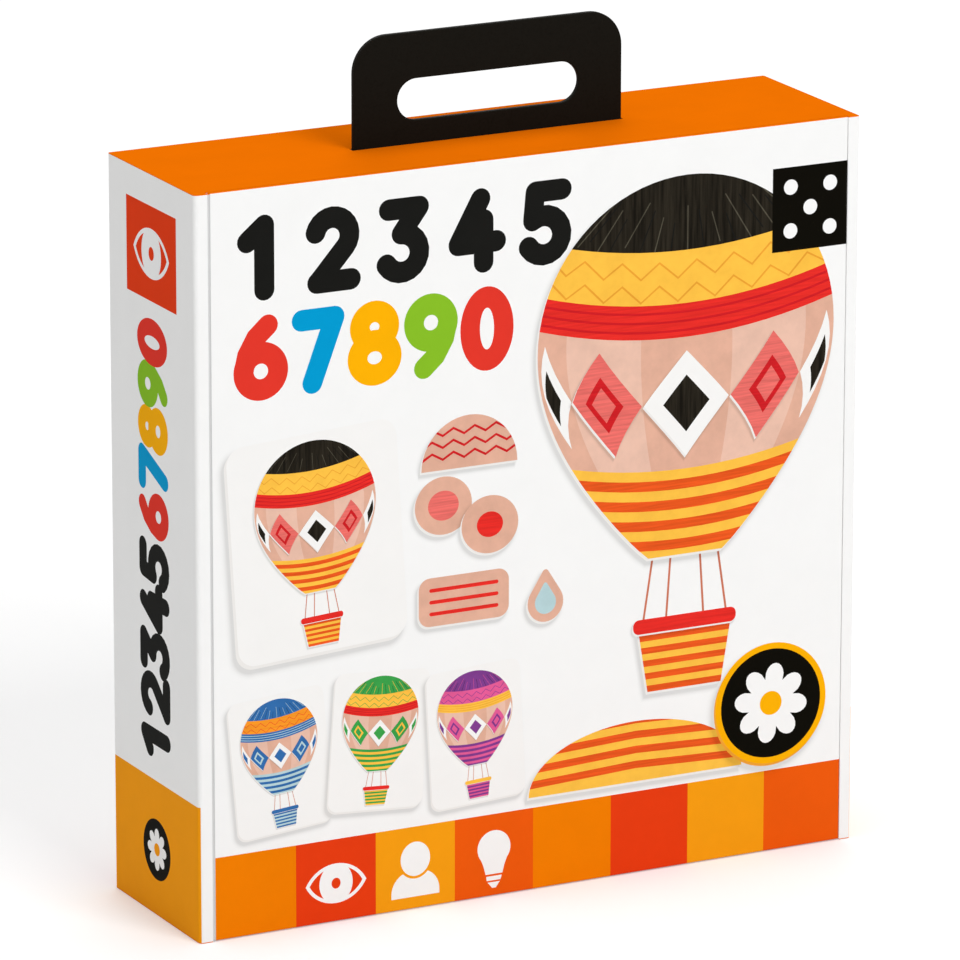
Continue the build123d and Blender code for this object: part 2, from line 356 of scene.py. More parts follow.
class Draw:
    """Plain outlines, in millimetres on the sheet."""

    NOTHING = 1e-9

    @staticmethod
    def ellipse(cx: float, cy: float, rx: float, ry: float, steps: int = 48) -> Outline:
        """Ellipse about a centre with a radius across and one up, anticlockwise."""
        angles = [2 * math.pi * i / steps for i in range(steps)]
        return [(cx + rx * math.cos(a), cy + ry * math.sin(a)) for a in angles]

    @staticmethod
    def arc(cx: float, cy: float, radius: float, start: float, end: float, steps: int = 14) -> Outline:
        """Points along an arc about a centre, from one angle in degrees to another."""
        angles = [math.radians(start + (end - start) * i / steps) for i in range(steps + 1)]
        return [(cx + radius * math.cos(a), cy + radius * math.sin(a)) for a in angles]

    @staticmethod
    def box(left: float, low: float, right: float, high: float, radius: float = 0.0) -> Outline:
        """Rectangle, with round corners where a radius is given.

        Args:
            left: Left edge.
            low: Lower edge.
            right: Right edge.
            high: Upper edge.
            radius: Corner radius.

        Returns:
            Its outline, anticlockwise.
        """
        if radius <= 0:
            return [(left, low), (right, low), (right, high), (left, high)]
        corners = (
            (right - radius, low + radius, -90),
            (right - radius, high - radius, 0),
            (left + radius, high - radius, 90),
            (left + radius, low + radius, 180),
        )
        points: Outline = []
        for cx, cy, start in corners:
            points += Draw.arc(cx, cy, radius, start, start + 90, steps=8)
        return points

    @staticmethod
    def stroke(path: Sequence[Point], width: float) -> Outline:
        """Round-ended pen stroke along an open path.

        Args:
            path: Points of the middle line.
            width: Width of the pen.

        Returns:
            The stroke's outline.
        """
        half = width / 2
        count = len(path)
        normals: list[Vector] = []
        for i in range(count):
            before = Vector(path[max(i - 1, 0)])
            after = Vector(path[min(i + 1, count - 1)])
            along = (after - before).normalized()
            normals.append(Vector((-along.y, along.x)))
        right_side = [(p[0] - n.x * half, p[1] - n.y * half) for p, n in zip(path, normals)]
        left_side = [(p[0] + n.x * half, p[1] + n.y * half) for p, n in zip(path, normals)]

        def cap(centre: Point, normal: Vector) -> Outline:
            """Half circle from the side that the normal points away from."""
            start = math.degrees(math.atan2(-normal.y, -normal.x))
            return Draw.arc(centre[0], centre[1], half, start, start + 180, steps=10)[1:-1]

        end_cap = cap(path[-1], normals[-1])
        start_cap = cap(path[0], -normals[0])
        return right_side + end_cap + left_side[::-1] + start_cap

    @staticmethod
    def drop(cx: float, low: float, radius: float, height: float, tip: float = 0.0) -> Outline:
        """Drop that stands on its bowl, with the tip up.

        Args:
            cx: Middle across.
            low: Lowest point.
            radius: Radius of the bowl.
            height: Height to where its sides meet.
            tip: Radius that rounds the tip.

        Returns:
            Its outline, anticlockwise.
        """
        slope = math.asin(radius / (height - radius))
        angle = math.degrees(slope)
        bowl = Draw.arc(cx, low + radius, radius, 180 - angle, 360 + angle, steps=24)
        if tip <= 0:
            return bowl + [(cx, low + height)]
        return bowl + Draw.arc(cx, low + height - tip / math.sin(slope), tip, angle, 180 - angle, steps=8)

    @staticmethod
    def rounded(corners: Sequence[Point], radius: float, steps: int = 6) -> Outline:
        """Round every corner of an anticlockwise outline whose corners all point outwards.

        Args:
            corners: The sharp corners.
            radius: Radius of the rounding.
            steps: Number of pieces in each round.

        Returns:
            The rounded outline.
        """
        points: Outline = []
        count = len(corners)
        for i, corner in enumerate(corners):
            here = Vector(corner)
            before = (here - Vector(corners[i - 1])).normalized()
            after = (Vector(corners[(i + 1) % count]) - here).normalized()
            turn = before.angle(after)
            start = here - before * radius * math.tan(turn / 2)
            centre = start + Vector((-before.y, before.x)) * radius
            first = math.degrees(math.atan2(-before.x, before.y))
            points += Draw.arc(centre.x, centre.y, radius, first, first + math.degrees(turn), steps)
        return points

    @staticmethod
    def move(points: Iterable[Point], dx: float, dy: float, turn: float = 0.0, scale: float = 1.0) -> Outline:
        """Scale and turn points about the origin, then shift them.

        Args:
            points: The points.
            dx: Shift across.
            dy: Shift up.
            turn: Angle in degrees.
            scale: Scale.

        Returns:
            The new points.
        """
        c = math.cos(math.radians(turn)) * scale
        s = math.sin(math.radians(turn)) * scale
        return [(x * c - y * s + dx, x * s + y * c + dy) for x, y in points]

    @staticmethod
    def grow(points: Outline, distance: float) -> Outline:
        """Push an anticlockwise outline outwards.

        Args:
            points: The outline.
            distance: How far.

        Returns:
            The larger outline.
        """
        grown: Outline = []
        count = len(points)
        for i, point in enumerate(points):
            along = Vector(points[(i + 1) % count]) - Vector(points[i - 1])
            if along.length < Draw.NOTHING:
                continue
            along.normalize()
            grown.append((point[0] + along.y * distance, point[1] - along.x * distance))
        return grown


@dataclass
class Region:
    """One printed shape; a later shape covers an earlier one."""

    outline: Outline
    ink: PrintInk
    within: Optional["Region"] = None
    shadow: float = 0.0

    def moved(self, dx: float, dy: float, turn: float, scale: float) -> "Region":
        """Copy of the shape, turned, scaled and shifted."""
        outline = Draw.move(self.outline, dx, dy, turn, scale)
        return Region(outline, self.ink, self.within, self.shadow * scale)


@dataclass
class Drawing:
    """A list of printed shapes in the order of printing."""

    EDGE_LEAN: ClassVar[float] = 0.75

    regions: list[Region] = field(default_factory=list)

    def add(
        self, outline: Outline, ink: PrintInk, within: Optional[Region] = None, shadow: float = 0.0,
    ) -> Region:
        """Print a shape.

        Args:
            outline: Its outline in millimetres.
            ink: Its colour.
            within: Shape that it is clipped to.
            shadow: Width of the soft shadow that it throws, in millimetres.

        Returns:
            The printed shape.
        """
        region = Region(outline, ink, within, shadow)
        self.regions.append(region)
        return region

    def raised(self, outline: Outline, ink: PrintInk, lift: float = 0.8, shadow: float = 2.0) -> Region:
        """Print a cut piece of board with its pale edge at the lower left; return its top face."""
        self.add(Draw.move(outline, -self.EDGE_LEAN * lift, -lift), Ink.EDGE, shadow=shadow)
        return self.add(outline, ink)

    def merge(self, other: "Drawing", dx: float, dy: float, turn: float = 0.0, scale: float = 1.0) -> None:
        """Print another drawing, turned, scaled and shifted.

        Args:
            other: The drawing to copy.
            dx: Shift across.
            dy: Shift up.
            turn: Angle in degrees.
            scale: Scale.
        """
        copies = {id(region): region.moved(dx, dy, turn, scale) for region in other.regions}
        for region in other.regions:
            copy = copies[id(region)]
            if region.within is not None:
                copy.within = copies[id(region.within)]
            self.regions.append(copy)


class Numerals:
    """Chunky round numerals, built from pen strokes on a cell one high and 0.66 wide."""

    WIDTH = 0.66
    PEN = 0.25
    TITLE = (
        ("12345", (Ink.BLACK,)),
        ("67890", (Ink.RED, Ink.BLUE, Ink.YELLOW, Ink.GREEN, Ink.RED)),
    )

    STROKES: dict[str, list[list[Point]]] = {
        "1": [[(0.17, 0.70), (0.38, 0.87)], [(0.38, 0.87), (0.38, 0.13)]],
        "2": [Draw.arc(0.33, 0.655, 0.215, 165, -40) + [(0.15, 0.135)], [(0.14, 0.13), (0.56, 0.13)]],
        "3": [
            [(0.14, 0.87), (0.52, 0.87)], [(0.52, 0.87), (0.30, 0.58)],
            Draw.arc(0.30, 0.355, 0.225, 90, -148),
        ],
        "4": [[(0.40, 0.87), (0.12, 0.37)], [(0.12, 0.36), (0.60, 0.36)], [(0.44, 0.62), (0.44, 0.13)]],
        "5": [
            [(0.20, 0.87), (0.54, 0.87)], [(0.20, 0.87), (0.17, 0.54)],
            Draw.arc(0.31, 0.355, 0.23, 118, -148),
        ],
        "6": [[(0.118, 0.37), (0.16, 0.55), (0.27, 0.74), (0.42, 0.87)]],
        "7": [[(0.13, 0.87), (0.54, 0.87)], [(0.54, 0.87), (0.26, 0.13)]],
        "8": [],
        "9": [[(0.542, 0.63), (0.50, 0.45), (0.39, 0.26), (0.24, 0.13)]],
        "0": [],
    }
    RINGS: dict[str, list[tuple[float, float, float, float]]] = {
        "6": [(0.33, 0.345, 0.215, 0.215)],
        "8": [(0.33, 0.69, 0.185, 0.18), (0.33, 0.33, 0.215, 0.20)],
        "9": [(0.33, 0.655, 0.215, 0.215)],
        "0": [(0.33, 0.50, 0.215, 0.37)],
    }

    @classmethod
    def draw(cls, digit: str, height: float, ink: PrintInk, ground: PrintInk) -> Drawing:
        """Draw one numeral with its lower left corner at the origin.

        Args:
            digit: The numeral.
            height: Its height in millimetres.
            ink: Its colour.
            ground: Colour seen through its holes.

        Returns:
            The drawing.
        """
        drawing = Drawing()
        pen = cls.PEN * height
        for cx, cy, rx, ry in cls.RINGS.get(digit, []):
            middle = (cx * height, cy * height)
            wide, tall = rx * height, ry * height
            drawing.add(Draw.ellipse(*middle, wide + pen / 2, tall + pen / 2), ink)
            drawing.add(Draw.ellipse(*middle, wide - pen / 2, tall - pen / 2, steps=32), ground)
        for path in cls.STROKES[digit]:
            drawing.add(Draw.stroke([(x * height, y * height) for x, y in path], pen), ink)
        return drawing

    @classmethod
    def row(
        cls, digits: str, height: float, pitch: float, inks: Sequence[PrintInk], ground: PrintInk,
    ) -> Drawing:
        """Draw a row of numerals from the origin to the right.

        Args:
            digits: The numerals.
            height: Their height.
            pitch: Step from one to the next.
            inks: One colour for each, repeated as needed.
            ground: Colour seen through their holes.

        Returns:
            The drawing.
        """
        drawing = Drawing()
        for i, digit in enumerate(digits):
            drawing.merge(cls.draw(digit, height, inks[i % len(inks)], ground), i * pitch, 0.0)
        return drawing


class Pictograms:
    """White signs of the coloured squares, each about 20 mm high and centred on the origin."""

    LID_RADIUS = 11.2
    LID_OFFSET = 5.0
    LID_END = 26.5
    RIM_SHARE = (0.87, 0.83)
    IRIS = (5.5, 6.4)
    PUPIL = (1.5, 1.7)
    BUST_HALF = 8.8
    BUST_LOW = -9.0
    SHOULDER_CENTRE = (1.4, -7.4)
    SHOULDER_RADIUS = 7.4
    SHOULDER_TURN = 70.0
    HEAD_LEVEL = 4.0
    HEAD = (5.4, 5.9)
    HEAD_GAP = 0.9
    GLASS_LEVEL = 3.4
    GLASS_RADIUS = 6.1
    GLASS_END = 38.0
    NECK: Outline = [(-3.9, -2.6), (-3.1, -5.6), (3.1, -5.6), (3.9, -2.6)]
    COLLAR: Outline = [(-2.7, -7.8), (2.4, -7.8), (2.9, -6.3), (-2.9, -6.3)]
    TIP: Outline = [(-1.8, -9.0), (-0.7, -10.4), (0.7, -10.4), (1.7, -9.0), (2.2, -8.4), (-2.4, -8.4)]

    @classmethod
    def eye(cls, ground: PrintInk) -> Drawing:
        """Draw an open eye, the common sign for looking closely.

        Args:
            ground: Colour of the square.

        Returns:
            The drawing.
        """
        drawing = Drawing()
        end = cls.LID_END
        upper = Draw.arc(0.0, -cls.LID_OFFSET, cls.LID_RADIUS, 180 - end, end, steps=20)
        lower = Draw.arc(0.0, cls.LID_OFFSET, cls.LID_RADIUS, -end, end - 180, steps=20)
        almond = (upper + lower[1:-1])[::-1]
        rim = drawing.add(almond, Ink.WHITE)
        drawing.add([(x * cls.RIM_SHARE[0], y * cls.RIM_SHARE[1]) for x, y in almond], ground)
        drawing.add(Draw.ellipse(0, 0, *cls.IRIS), Ink.WHITE, rim)
        drawing.add(Draw.ellipse(0, 0, *cls.PUPIL, steps=28), ground)
        return drawing

    @classmethod
    def player(cls, ground: PrintInk) -> Drawing:
        """Draw a head and shoulders, the common sign for a player.

        Args:
            ground: Colour of the square.

        Returns:
            The drawing.
        """
        drawing = Drawing()
        shoulder = Draw.arc(*cls.SHOULDER_CENTRE, cls.SHOULDER_RADIUS, 0, cls.SHOULDER_TURN, steps=8)
        bust = [(-cls.BUST_HALF, cls.BUST_LOW), (cls.BUST_HALF, cls.BUST_LOW)] + shoulder
        bust += [(-x, y) for x, y in reversed(shoulder)]
        drawing.add(bust, Ink.WHITE)
        wide, high = cls.HEAD
        drawing.add(Draw.ellipse(0, cls.HEAD_LEVEL, wide + cls.HEAD_GAP, high + cls.HEAD_GAP), ground)
        drawing.add(Draw.ellipse(0, cls.HEAD_LEVEL, wide, high), Ink.WHITE)
        return drawing

    @classmethod
    def bulb(cls) -> Drawing:
        """Draw a light bulb, the common sign for an idea.

        Returns:
            The drawing.
        """
        drawing = Drawing()
        end = cls.GLASS_END
        glass = Draw.arc(0, cls.GLASS_LEVEL, cls.GLASS_RADIUS, -end, 180 + end, steps=34)
        drawing.add(glass + cls.NECK, Ink.WHITE)
        drawing.add(cls.COLLAR, Ink.WHITE)
        drawing.add(cls.TIP, Ink.WHITE)
        return drawing


@dataclass(frozen=True)
class BalloonColours:
    """Colours of one balloon picture."""

    crown: PrintInk = Ink.SOOT
    crown_line: PrintInk = Ink.SOOT_LINE
    zigzag: PrintInk = Ink.STRAW
    zigzag_line: PrintInk = Ink.OCHRE
    belt: PrintInk = Ink.SCARLET
    belt_line: PrintInk = Ink.CRIMSON
    field: PrintInk = Ink.PEACH
    gore: PrintInk = Ink.PALE_PEACH
    diamonds: PrintInk = Ink.ROSE
    diamond_line: PrintInk = Ink.CRIMSON
    stripe_a: PrintInk = Ink.STRAW
    stripe_b: PrintInk = Ink.PAPRIKA


@dataclass
class Balloon:
    """Striped air balloon with a basket, 120 mm wide and 190 mm tall, mouth at the origin."""

    LINE_STEPS: ClassVar[int] = 20
    FOOT_STEPS: ClassVar[int] = 24
    LINE_REACH: ClassVar[float] = 4.0

    colours: BalloonColours = field(default_factory=BalloonColours)
    radius: float = 60.0
    centre: float = 80.0
    mouth: float = 15.0
    fullness: float = 0.9
    sag: float = 9.0
    lift: float = 0.9
    shadow: float = 2.2
    crown_level: float = 116.0
    streak_count: int = 21
    streak_turn: float = 8.2
    streak_levels: Pair = (113.0, 133.0)
    streak_steps: Pair = (2.5, 2.0)
    streak_width: float = 0.45
    zigzag_level: float = 97.0
    zigzag_rise: float = 6.0
    zigzag_pitch: float = 7.5
    zigzag_rows: Values = (1.5, 10.0)
    belt_overlap: float = 1.0
    belt_level: float = 85.0
    belt_rise: float = 12.5
    belt_rows: Values = (2.6, 6.0, 9.4)
    line_width: float = 0.85
    gore_turn: float = 36.0
    gore_levels: Pair = (30.0, 92.0)
    chain_level: float = 60.5
    chain_size: Pair = (17.6, 19.5)
    chain_core: float = 0.54
    chain_heart: float = 0.34
    chain_lift: float = 0.7
    chain_shadow: float = 1.2
    stripe_level: float = 3.0
    stripe_rise: float = 3.7
    stripe_count: int = 9
    rope_spreads: Values = (0.45, 1.0)
    rope_span: tuple[Point, Point] = ((13.0, 2.0), (17.0, -24.0))
    basket_half: Pair = (15.0, 19.0)
    basket_levels: Pair = (-50.0, -26.0)
    basket_stripes: int = 5
    rim_half: Pair = (21.0, 2.75)
    rim_level: float = -25.25
    rim_corner: float = 2.4
    rim_lift: float = 0.6
    rim_shadow: float = 1.0

    def __post_init__(self) -> None:
        """Start with an empty drawing, without the envelope."""
        self.art = Drawing()
        self.body: Optional[Region] = None

    def half_width(self, level: float) -> float:
        """Measure half the width of the envelope.

        Args:
            level: Height above its mouth.

        Returns:
            Half its width.
        """
        if level >= self.centre:
            return math.sqrt(max(self.radius ** 2 - (level - self.centre) ** 2, 0.0))
        rise = math.sin(math.pi / 2 * level / self.centre) ** self.fullness
        return self.mouth + (self.radius - self.mouth) * rise

    def envelope(self) -> Outline:
        """Draw round the whole envelope.

        Returns:
            Its outline, anticlockwise.
        """
        levels = [self.centre * i / self.FOOT_STEPS for i in range(self.FOOT_STEPS)]
        low = [(self.half_width(level), level) for level in levels]
        top = Draw.arc(0, self.centre, self.radius, 0, 180, steps=40)
        return low + top + [(-x, y) for x, y in reversed(low)]

    def at(self, angle: float, level: float) -> Point:
        """Point of the round envelope on the sheet; an angle of 0 degrees faces the viewer."""
        across = math.sin(math.radians(angle))
        return self.half_width(level) * across, level + self.sag * (across ** 2 - 0.5)

    def level_line(self, level: float) -> Outline:
        """Draw a sagging line across the envelope and a little past it.

        Args:
            level: Height above the mouth.

        Returns:
            The line, from left to right.
        """
        reach = self.radius + self.LINE_REACH
        xs = [-reach + 2 * reach * i / self.LINE_STEPS for i in range(self.LINE_STEPS + 1)]
        return [(x, level + self.sag * ((x / self.radius) ** 2 - 0.5)) for x in xs]

    def belt(self, low: float, high: float) -> Outline:
        """Belt between two levels."""
        return self.level_line(low) + self.level_line(high)[::-1]

    def zigzag(self, level: float) -> Outline:
        """Draw a zigzag line across the envelope.

        Args:
            level: Height of its lower corners above the mouth.

        Returns:
            The line, from left to right.
        """
        count = int(2 * self.radius / self.zigzag_pitch) + 2
        points: Outline = []
        for i in range(count):
            x = -self.radius + (i - 0.5) * self.zigzag_pitch
            bend = self.sag * ((x / self.radius) ** 2 - 0.5)
            points.append((x, level + bend + (self.zigzag_rise if i % 2 else 0.0)))
        return points

    def gore(self, start: float, end: float, low: float, high: float) -> Outline:
        """Upright panel between two seams.

        Args:
            start: Angle of its left seam in degrees.
            end: Angle of its right seam.
            low: Lowest level.
            high: Highest level.

        Returns:
            Its outline.
        """
        steps = 12
        levels = [low + (high - low) * i / steps for i in range(steps + 1)]
        left_seam = [self.at(start, level) for level in reversed(levels)]
        return left_seam + [self.at(end, level) for level in levels]

    def diamond(self, angle: float, share: float = 1.0) -> Outline:
        """Diamond of the chain, drawn on the round envelope.

        Args:
            angle: Angle of its middle.
            share: Its size, with 1 for a full one.

        Returns:
            Its outline, anticlockwise.
        """
        spread, rise = (size * share for size in self.chain_size)
        corners = ((spread, 0.0), (0.0, rise), (-spread, 0.0), (0.0, -rise))
        steps = 4
        points: Outline = []
        for i, (turn, lift) in enumerate(corners):
            next_turn, next_lift = corners[(i + 1) % 4]
            for step in range(steps):
                part = step / steps
                mid_turn = angle + turn + (next_turn - turn) * part
                points.append(self.at(mid_turn, self.chain_level + lift + (next_lift - lift) * part))
        return points

    def draw(self) -> Drawing:
        """Draw the balloon.

        Returns:
            The drawing, about the mouth of the envelope.
        """
        c = self.colours
        self.draw_basket()
        self.body = self.art.raised(self.envelope(), c.field, self.lift, self.shadow)
        for start in (-1.5 * self.gore_turn, 0.5 * self.gore_turn):
            self.print_on(self.gore(start, start + self.gore_turn, *self.gore_levels), c.gore)
        self.draw_crown()
        self.draw_belts()
        self.draw_chain()
        for i in range(self.stripe_count):
            low = self.stripe_level + i * self.stripe_rise
            self.print_on(self.belt(low, low + self.stripe_rise), (c.stripe_a, c.stripe_b)[i % 2])
        self.print_on(self.belt(-self.sag, self.stripe_level), c.belt)
        return self.art

    def print_on(self, outline: Outline, ink: PrintInk) -> None:
        """Print a shape on the envelope, clipped to it."""
        self.art.add(outline, ink, self.body)

    def draw_crown(self) -> None:
        """Streaked crown."""
        c = self.colours
        self.print_on(self.belt(self.crown_level, self.centre + self.radius + self.sag), c.crown)
        (low, high), (low_step, high_step) = self.streak_levels, self.streak_steps
        for i in range(self.streak_count):
            step = i - self.streak_count // 2
            angle = step * self.streak_turn
            ends = (low + low_step * (step % 3), high - high_step * (step % 4))
            streak = [self.at(angle, level) for level in ends]
            self.print_on(Draw.stroke(streak, self.streak_width), (c.crown_line, Ink.BLACK)[step % 2])

    def draw_belts(self) -> None:
        """Zigzag belt and the ribbed belt under it."""
        c = self.colours
        self.print_on(self.belt(self.zigzag_level, self.crown_level + self.belt_overlap), c.zigzag)
        for row in self.zigzag_rows:
            line = self.zigzag(self.zigzag_level + row)
            self.print_on(Draw.stroke(line, self.line_width), c.zigzag_line)
        self.print_on(self.belt(self.belt_level, self.belt_level + self.belt_rise), c.belt)
        for row in self.belt_rows:
            line = self.level_line(self.belt_level + row)
            self.print_on(Draw.stroke(line, self.line_width), c.belt_line)

    def draw_chain(self) -> None:
        """Chain of diamonds round the middle; those in front look like cut pieces laid on."""
        c = self.colours
        for place in range(-2, 3):
            angle = self.gore_turn * place
            ink = (Ink.CARD, c.diamonds)[place % 2]
            if abs(place) < 2:
                top = self.art.raised(self.diamond(angle), ink, self.chain_lift, self.chain_shadow)
            else:
                top = self.art.add(self.diamond(angle), ink, self.body)
            self.art.add(self.diamond(angle, self.chain_core), (c.crown, c.diamond_line)[place % 2], top)
            if place % 2:
                self.art.add(self.diamond(angle, self.chain_heart), ink, top)

    def draw_basket(self) -> None:
        """Basket and its ropes under the envelope."""
        c = self.colours
        (top_x, top_level), (low_x, low_level) = self.rope_span
        for side in (-1, 1):
            for spread in self.rope_spreads:
                rope = [(side * top_x * spread, top_level), (side * low_x * spread, low_level)]
                self.art.add(Draw.stroke(rope, self.line_width), Ink.TAN)
        foot, head = self.basket_half
        low, high = self.basket_levels
        outline = [(-foot, low), (foot, low), (head, high), (-head, high)]
        wall = self.art.raised(outline, c.stripe_a, self.lift, self.shadow)
        pitch = (high - low) / self.basket_stripes
        for i in range(self.basket_stripes):
            level = low + i * pitch
            self.art.add(Draw.box(-head, level, head, level + pitch / 2), c.stripe_b, wall)
        half, rise = self.rim_half
        rim = Draw.box(-half, self.rim_level - rise, half, self.rim_level + rise, self.rim_corner)
        self.art.raised(rim, c.belt, self.rim_lift, self.rim_shadow)


GAME_VARIANTS: tuple[BalloonColours, ...] = (
    BalloonColours(
        Ink.SKY, Ink.PALE_BLUE, Ink.TANGERINE, Ink.SCARLET, Ink.SKY, Ink.PALE_BLUE, Ink.PEACH, Ink.PALE_PEACH,
        Ink.SKY, Ink.PALE_BLUE, Ink.PALE_BLUE, Ink.SKY,
    ),
    BalloonColours(
        Ink.LEAF, Ink.STRAW, Ink.STRAW, Ink.LEAF, Ink.SCARLET, Ink.CRIMSON, Ink.PEACH, Ink.PALE_PEACH,
        Ink.LEAF, Ink.STRAW, Ink.LEAF, Ink.STRAW,
    ),
    BalloonColours(
        Ink.PLUM, Ink.PINK, Ink.PINK, Ink.PLUM, Ink.STRAW, Ink.OCHRE, Ink.PEACH, Ink.PALE_PEACH,
        Ink.PINK, Ink.PLUM, Ink.PLUM, Ink.PINK,
    ),
)


class Patterns:
    """Plain patterns that the pictures and the die-cut pieces share."""

    PETALS = 8
    PETAL_STEPS = 10
    PETAL_FOOT = 0.62
    PETAL_FULLNESS = 0.7
    HEART_SHARE = 0.3
    RING_SHARE = 0.9
    TOKEN_FLOWER_SHARE = 0.66
    TOKEN_EDGE = (-0.5, -0.9)
    TOKEN_SHADOW = 2.6

    @classmethod
    def flower(cls, cx: float, cy: float, radius: float, petal_ink: PrintInk, heart_ink: PrintInk) -> Drawing:
        """Draw a flower with round petals.

        Args:
            cx: Its middle across.
            cy: Its middle up.
            radius: Its radius.
            petal_ink: Colour of the petals.
            heart_ink: Colour of its middle.

        Returns:
            The drawing.
        """
        outline: Outline = []
        steps = cls.PETALS * cls.PETAL_STEPS
        for i in range(steps):
            angle = 2 * math.pi * i / steps
            bulge = abs(math.cos(cls.PETALS / 2 * angle)) ** cls.PETAL_FULLNESS
            reach = radius * (cls.PETAL_FOOT + (1 - cls.PETAL_FOOT) * bulge)
            outline.append((cx + reach * math.sin(angle), cy + reach * math.cos(angle)))
        art = Drawing()
        art.add(outline[::-1], petal_ink)
        heart = radius * cls.HEART_SHARE
        art.add(Draw.ellipse(cx, cy, heart, heart, steps=32), heart_ink)
        return art

    @classmethod
    def token(cls, radius: float) -> Drawing:
        """Draw a black round token with a yellow ring and a white flower.

        Args:
            radius: Its radius.

        Returns:
            The drawing, about its middle.
        """
        art = Drawing()
        inner = radius * cls.RING_SHARE
        edge = Draw.ellipse(*cls.TOKEN_EDGE, radius, radius, steps=64)
        art.add(edge, Ink.OCHRE, shadow=cls.TOKEN_SHADOW)
        art.add(Draw.ellipse(0, 0, radius, radius, steps=64), Ink.YELLOW)
        art.add(Draw.ellipse(0, 0, inner, inner, steps=64), Ink.DEEP_BLACK)
        art.merge(cls.flower(0, 0, radius * cls.TOKEN_FLOWER_SHARE, Ink.WHITE, Ink.YELLOW), 0, 0)
        return art

    @staticmethod
    def zigzag(left: float, right: float, level: float, rise: float, count: int) -> Outline:
        """Zigzag line from left to right; its upper corners lie the rise above the level."""
        step = (right - left) / count
        return [(left + i * step, level + (rise if i % 2 else 0.0)) for i in range(count + 1)]


class SheetMesh:
    """Turns a drawing on a developed sheet into one mesh whose faces carry the inks."""

    RING_SHARES = (0.0, 0.3, 0.6, 1.0)
    SHADOW_SHIFT = (-0.35, -0.5)
    SHADOW_STRENGTH = 0.34
    SNAP = 1e-4

    def __init__(self, grounds: Sequence[Region], drawing: Drawing, cuts: Sequence[Outline] = ()) -> None:
        """Keep what is printed.

        Args:
            grounds: The bare sheet, or several pieces of it.
            drawing: What is printed on it.
            cuts: Open lines that the mesh has edges along, such as folds.
        """
        self.ground_count = len(grounds)
        self.regions = list(grounds) + drawing.regions
        self.order = {id(region): i for i, region in enumerate(self.regions)}
        self.cuts = cuts
        self.casters: dict[int, tuple[Point, Point, Outline, float]] = {}
        for index, region in enumerate(self.regions):
            if region.shadow > 0:
                cast = self.shadow_outline(region)
                xs, ys = zip(*cast)
                reach = region.shadow
                low = (min(xs) - reach, min(ys) - reach)
                self.casters[index] = (low, (max(xs) + reach, max(ys) + reach), cast, reach)

    def shadow_outline(self, region: Region) -> Outline:
        """Outline of a shape, shifted to where its shadow falls."""
        dx, dy = self.SHADOW_SHIFT
        return Draw.move(region.outline, dx * region.shadow, dy * region.shadow)

    def rings(self) -> list[Outline]:
        """Draw the closed lines that carry the shadows' soft edges.

        Returns:
            The lines.
        """
        lines: list[Outline] = []
        for _, _, cast, reach in self.casters.values():
            lines += [Draw.grow(cast, share * reach) for share in self.RING_SHARES]
        return lines

    def triangulate(self) -> tuple[list[Vector], list[list[int]], list[int]]:
        """Cut the sheet along every outline.

        Returns:
            Corners, triangles and the number of the uppermost region on each triangle.
        """
        corners: list[Vector] = []
        faces: list[list[int]] = []
        edges: list[tuple[int, int]] = []
        for region in self.regions:
            start = len(corners)
            corners += [Vector(p) for p in region.outline]
            faces.append(list(range(start, len(corners))))
        for line, closed in [(r, True) for r in self.rings()] + [(c, False) for c in self.cuts]:
            start = len(corners)
            corners += [Vector(p) for p in line]
            edges += [(i, i + 1) for i in range(start, len(corners) - 1)]
            if closed:
                edges.append((len(corners) - 1, start))
        points, _, triangles, _, _, owners = delaunay_2d_cdt(corners, edges, faces, 0, self.SNAP, True)
        kept: list[list[int]] = []
        tops: list[int] = []
        for triangle, inside in zip(triangles, owners):
            held = set(inside)
            if min(held, default=self.ground_count) >= self.ground_count:
                continue
            kept.append(list(triangle))
            tops.append(max(i for i in held if self.visible(i, held)))
        return list(points), kept, tops

    def visible(self, index: int, held: set[int]) -> bool:
        """Whether a region's clip shapes hold the triangle too.

        Args:
            index: Number of the region.
            held: Numbers of the regions that hold the triangle.

        Returns:
            True where nothing clips the region away.
        """
        clip = self.regions[index].within
        while clip is not None:
            if self.order[id(clip)] not in held:
                return False
            clip = clip.within
        return True

    def casters_over(self, place: Vector, top: int) -> list[tuple[Outline, float]]:
        """Find the shadows that reach a place on a region.

        Args:
            place: The place on the sheet.
            top: Number of the region that is seen there.

        Returns:
            Outline and width of each shadow.
        """
        found: list[tuple[Outline, float]] = []
        for index, (low, high, cast, width) in self.casters.items():
            near = low[0] <= place.x <= high[0] and low[1] <= place.y <= high[1]
            if index > top and near and self.outside(place, cast) < width:
                found.append((cast, width))
        return found

    def darkness(self, point: Vector, shadows: Sequence[tuple[Outline, float]]) -> float:
        """Darkness from 0 to 1 that some shadows throw on a point."""
        fades = (1 - min(self.outside(point, cast) / width, 1.0) for cast, width in shadows)
        return max((fade * fade * self.SHADOW_STRENGTH for fade in fades), default=0.0)

    @staticmethod
    def outside(point: Vector, outline: Outline) -> float:
        """Distance of a point from an outline, 0 inside it.

        Args:
            point: The point.
            outline: The closed outline.

        Returns:
            The distance.
        """
        inside = False
        nearest = float("inf")
        ax, ay = outline[-1]
        px, py = point.x, point.y
        for bx, by in outline:
            if (ay > py) != (by > py) and px < (bx - ax) * (py - ay) / (by - ay) + ax:
                inside = not inside
            ex, ey = bx - ax, by - ay
            length = ex * ex + ey * ey
            t = 0.0 if length == 0 else max(0.0, min(1.0, ((px - ax) * ex + (py - ay) * ey) / length))
            nearest = min(nearest, (px - ax - t * ex) ** 2 + (py - ay - t * ey) ** 2)
            ax, ay = bx, by
        return 0.0 if inside else math.sqrt(nearest)

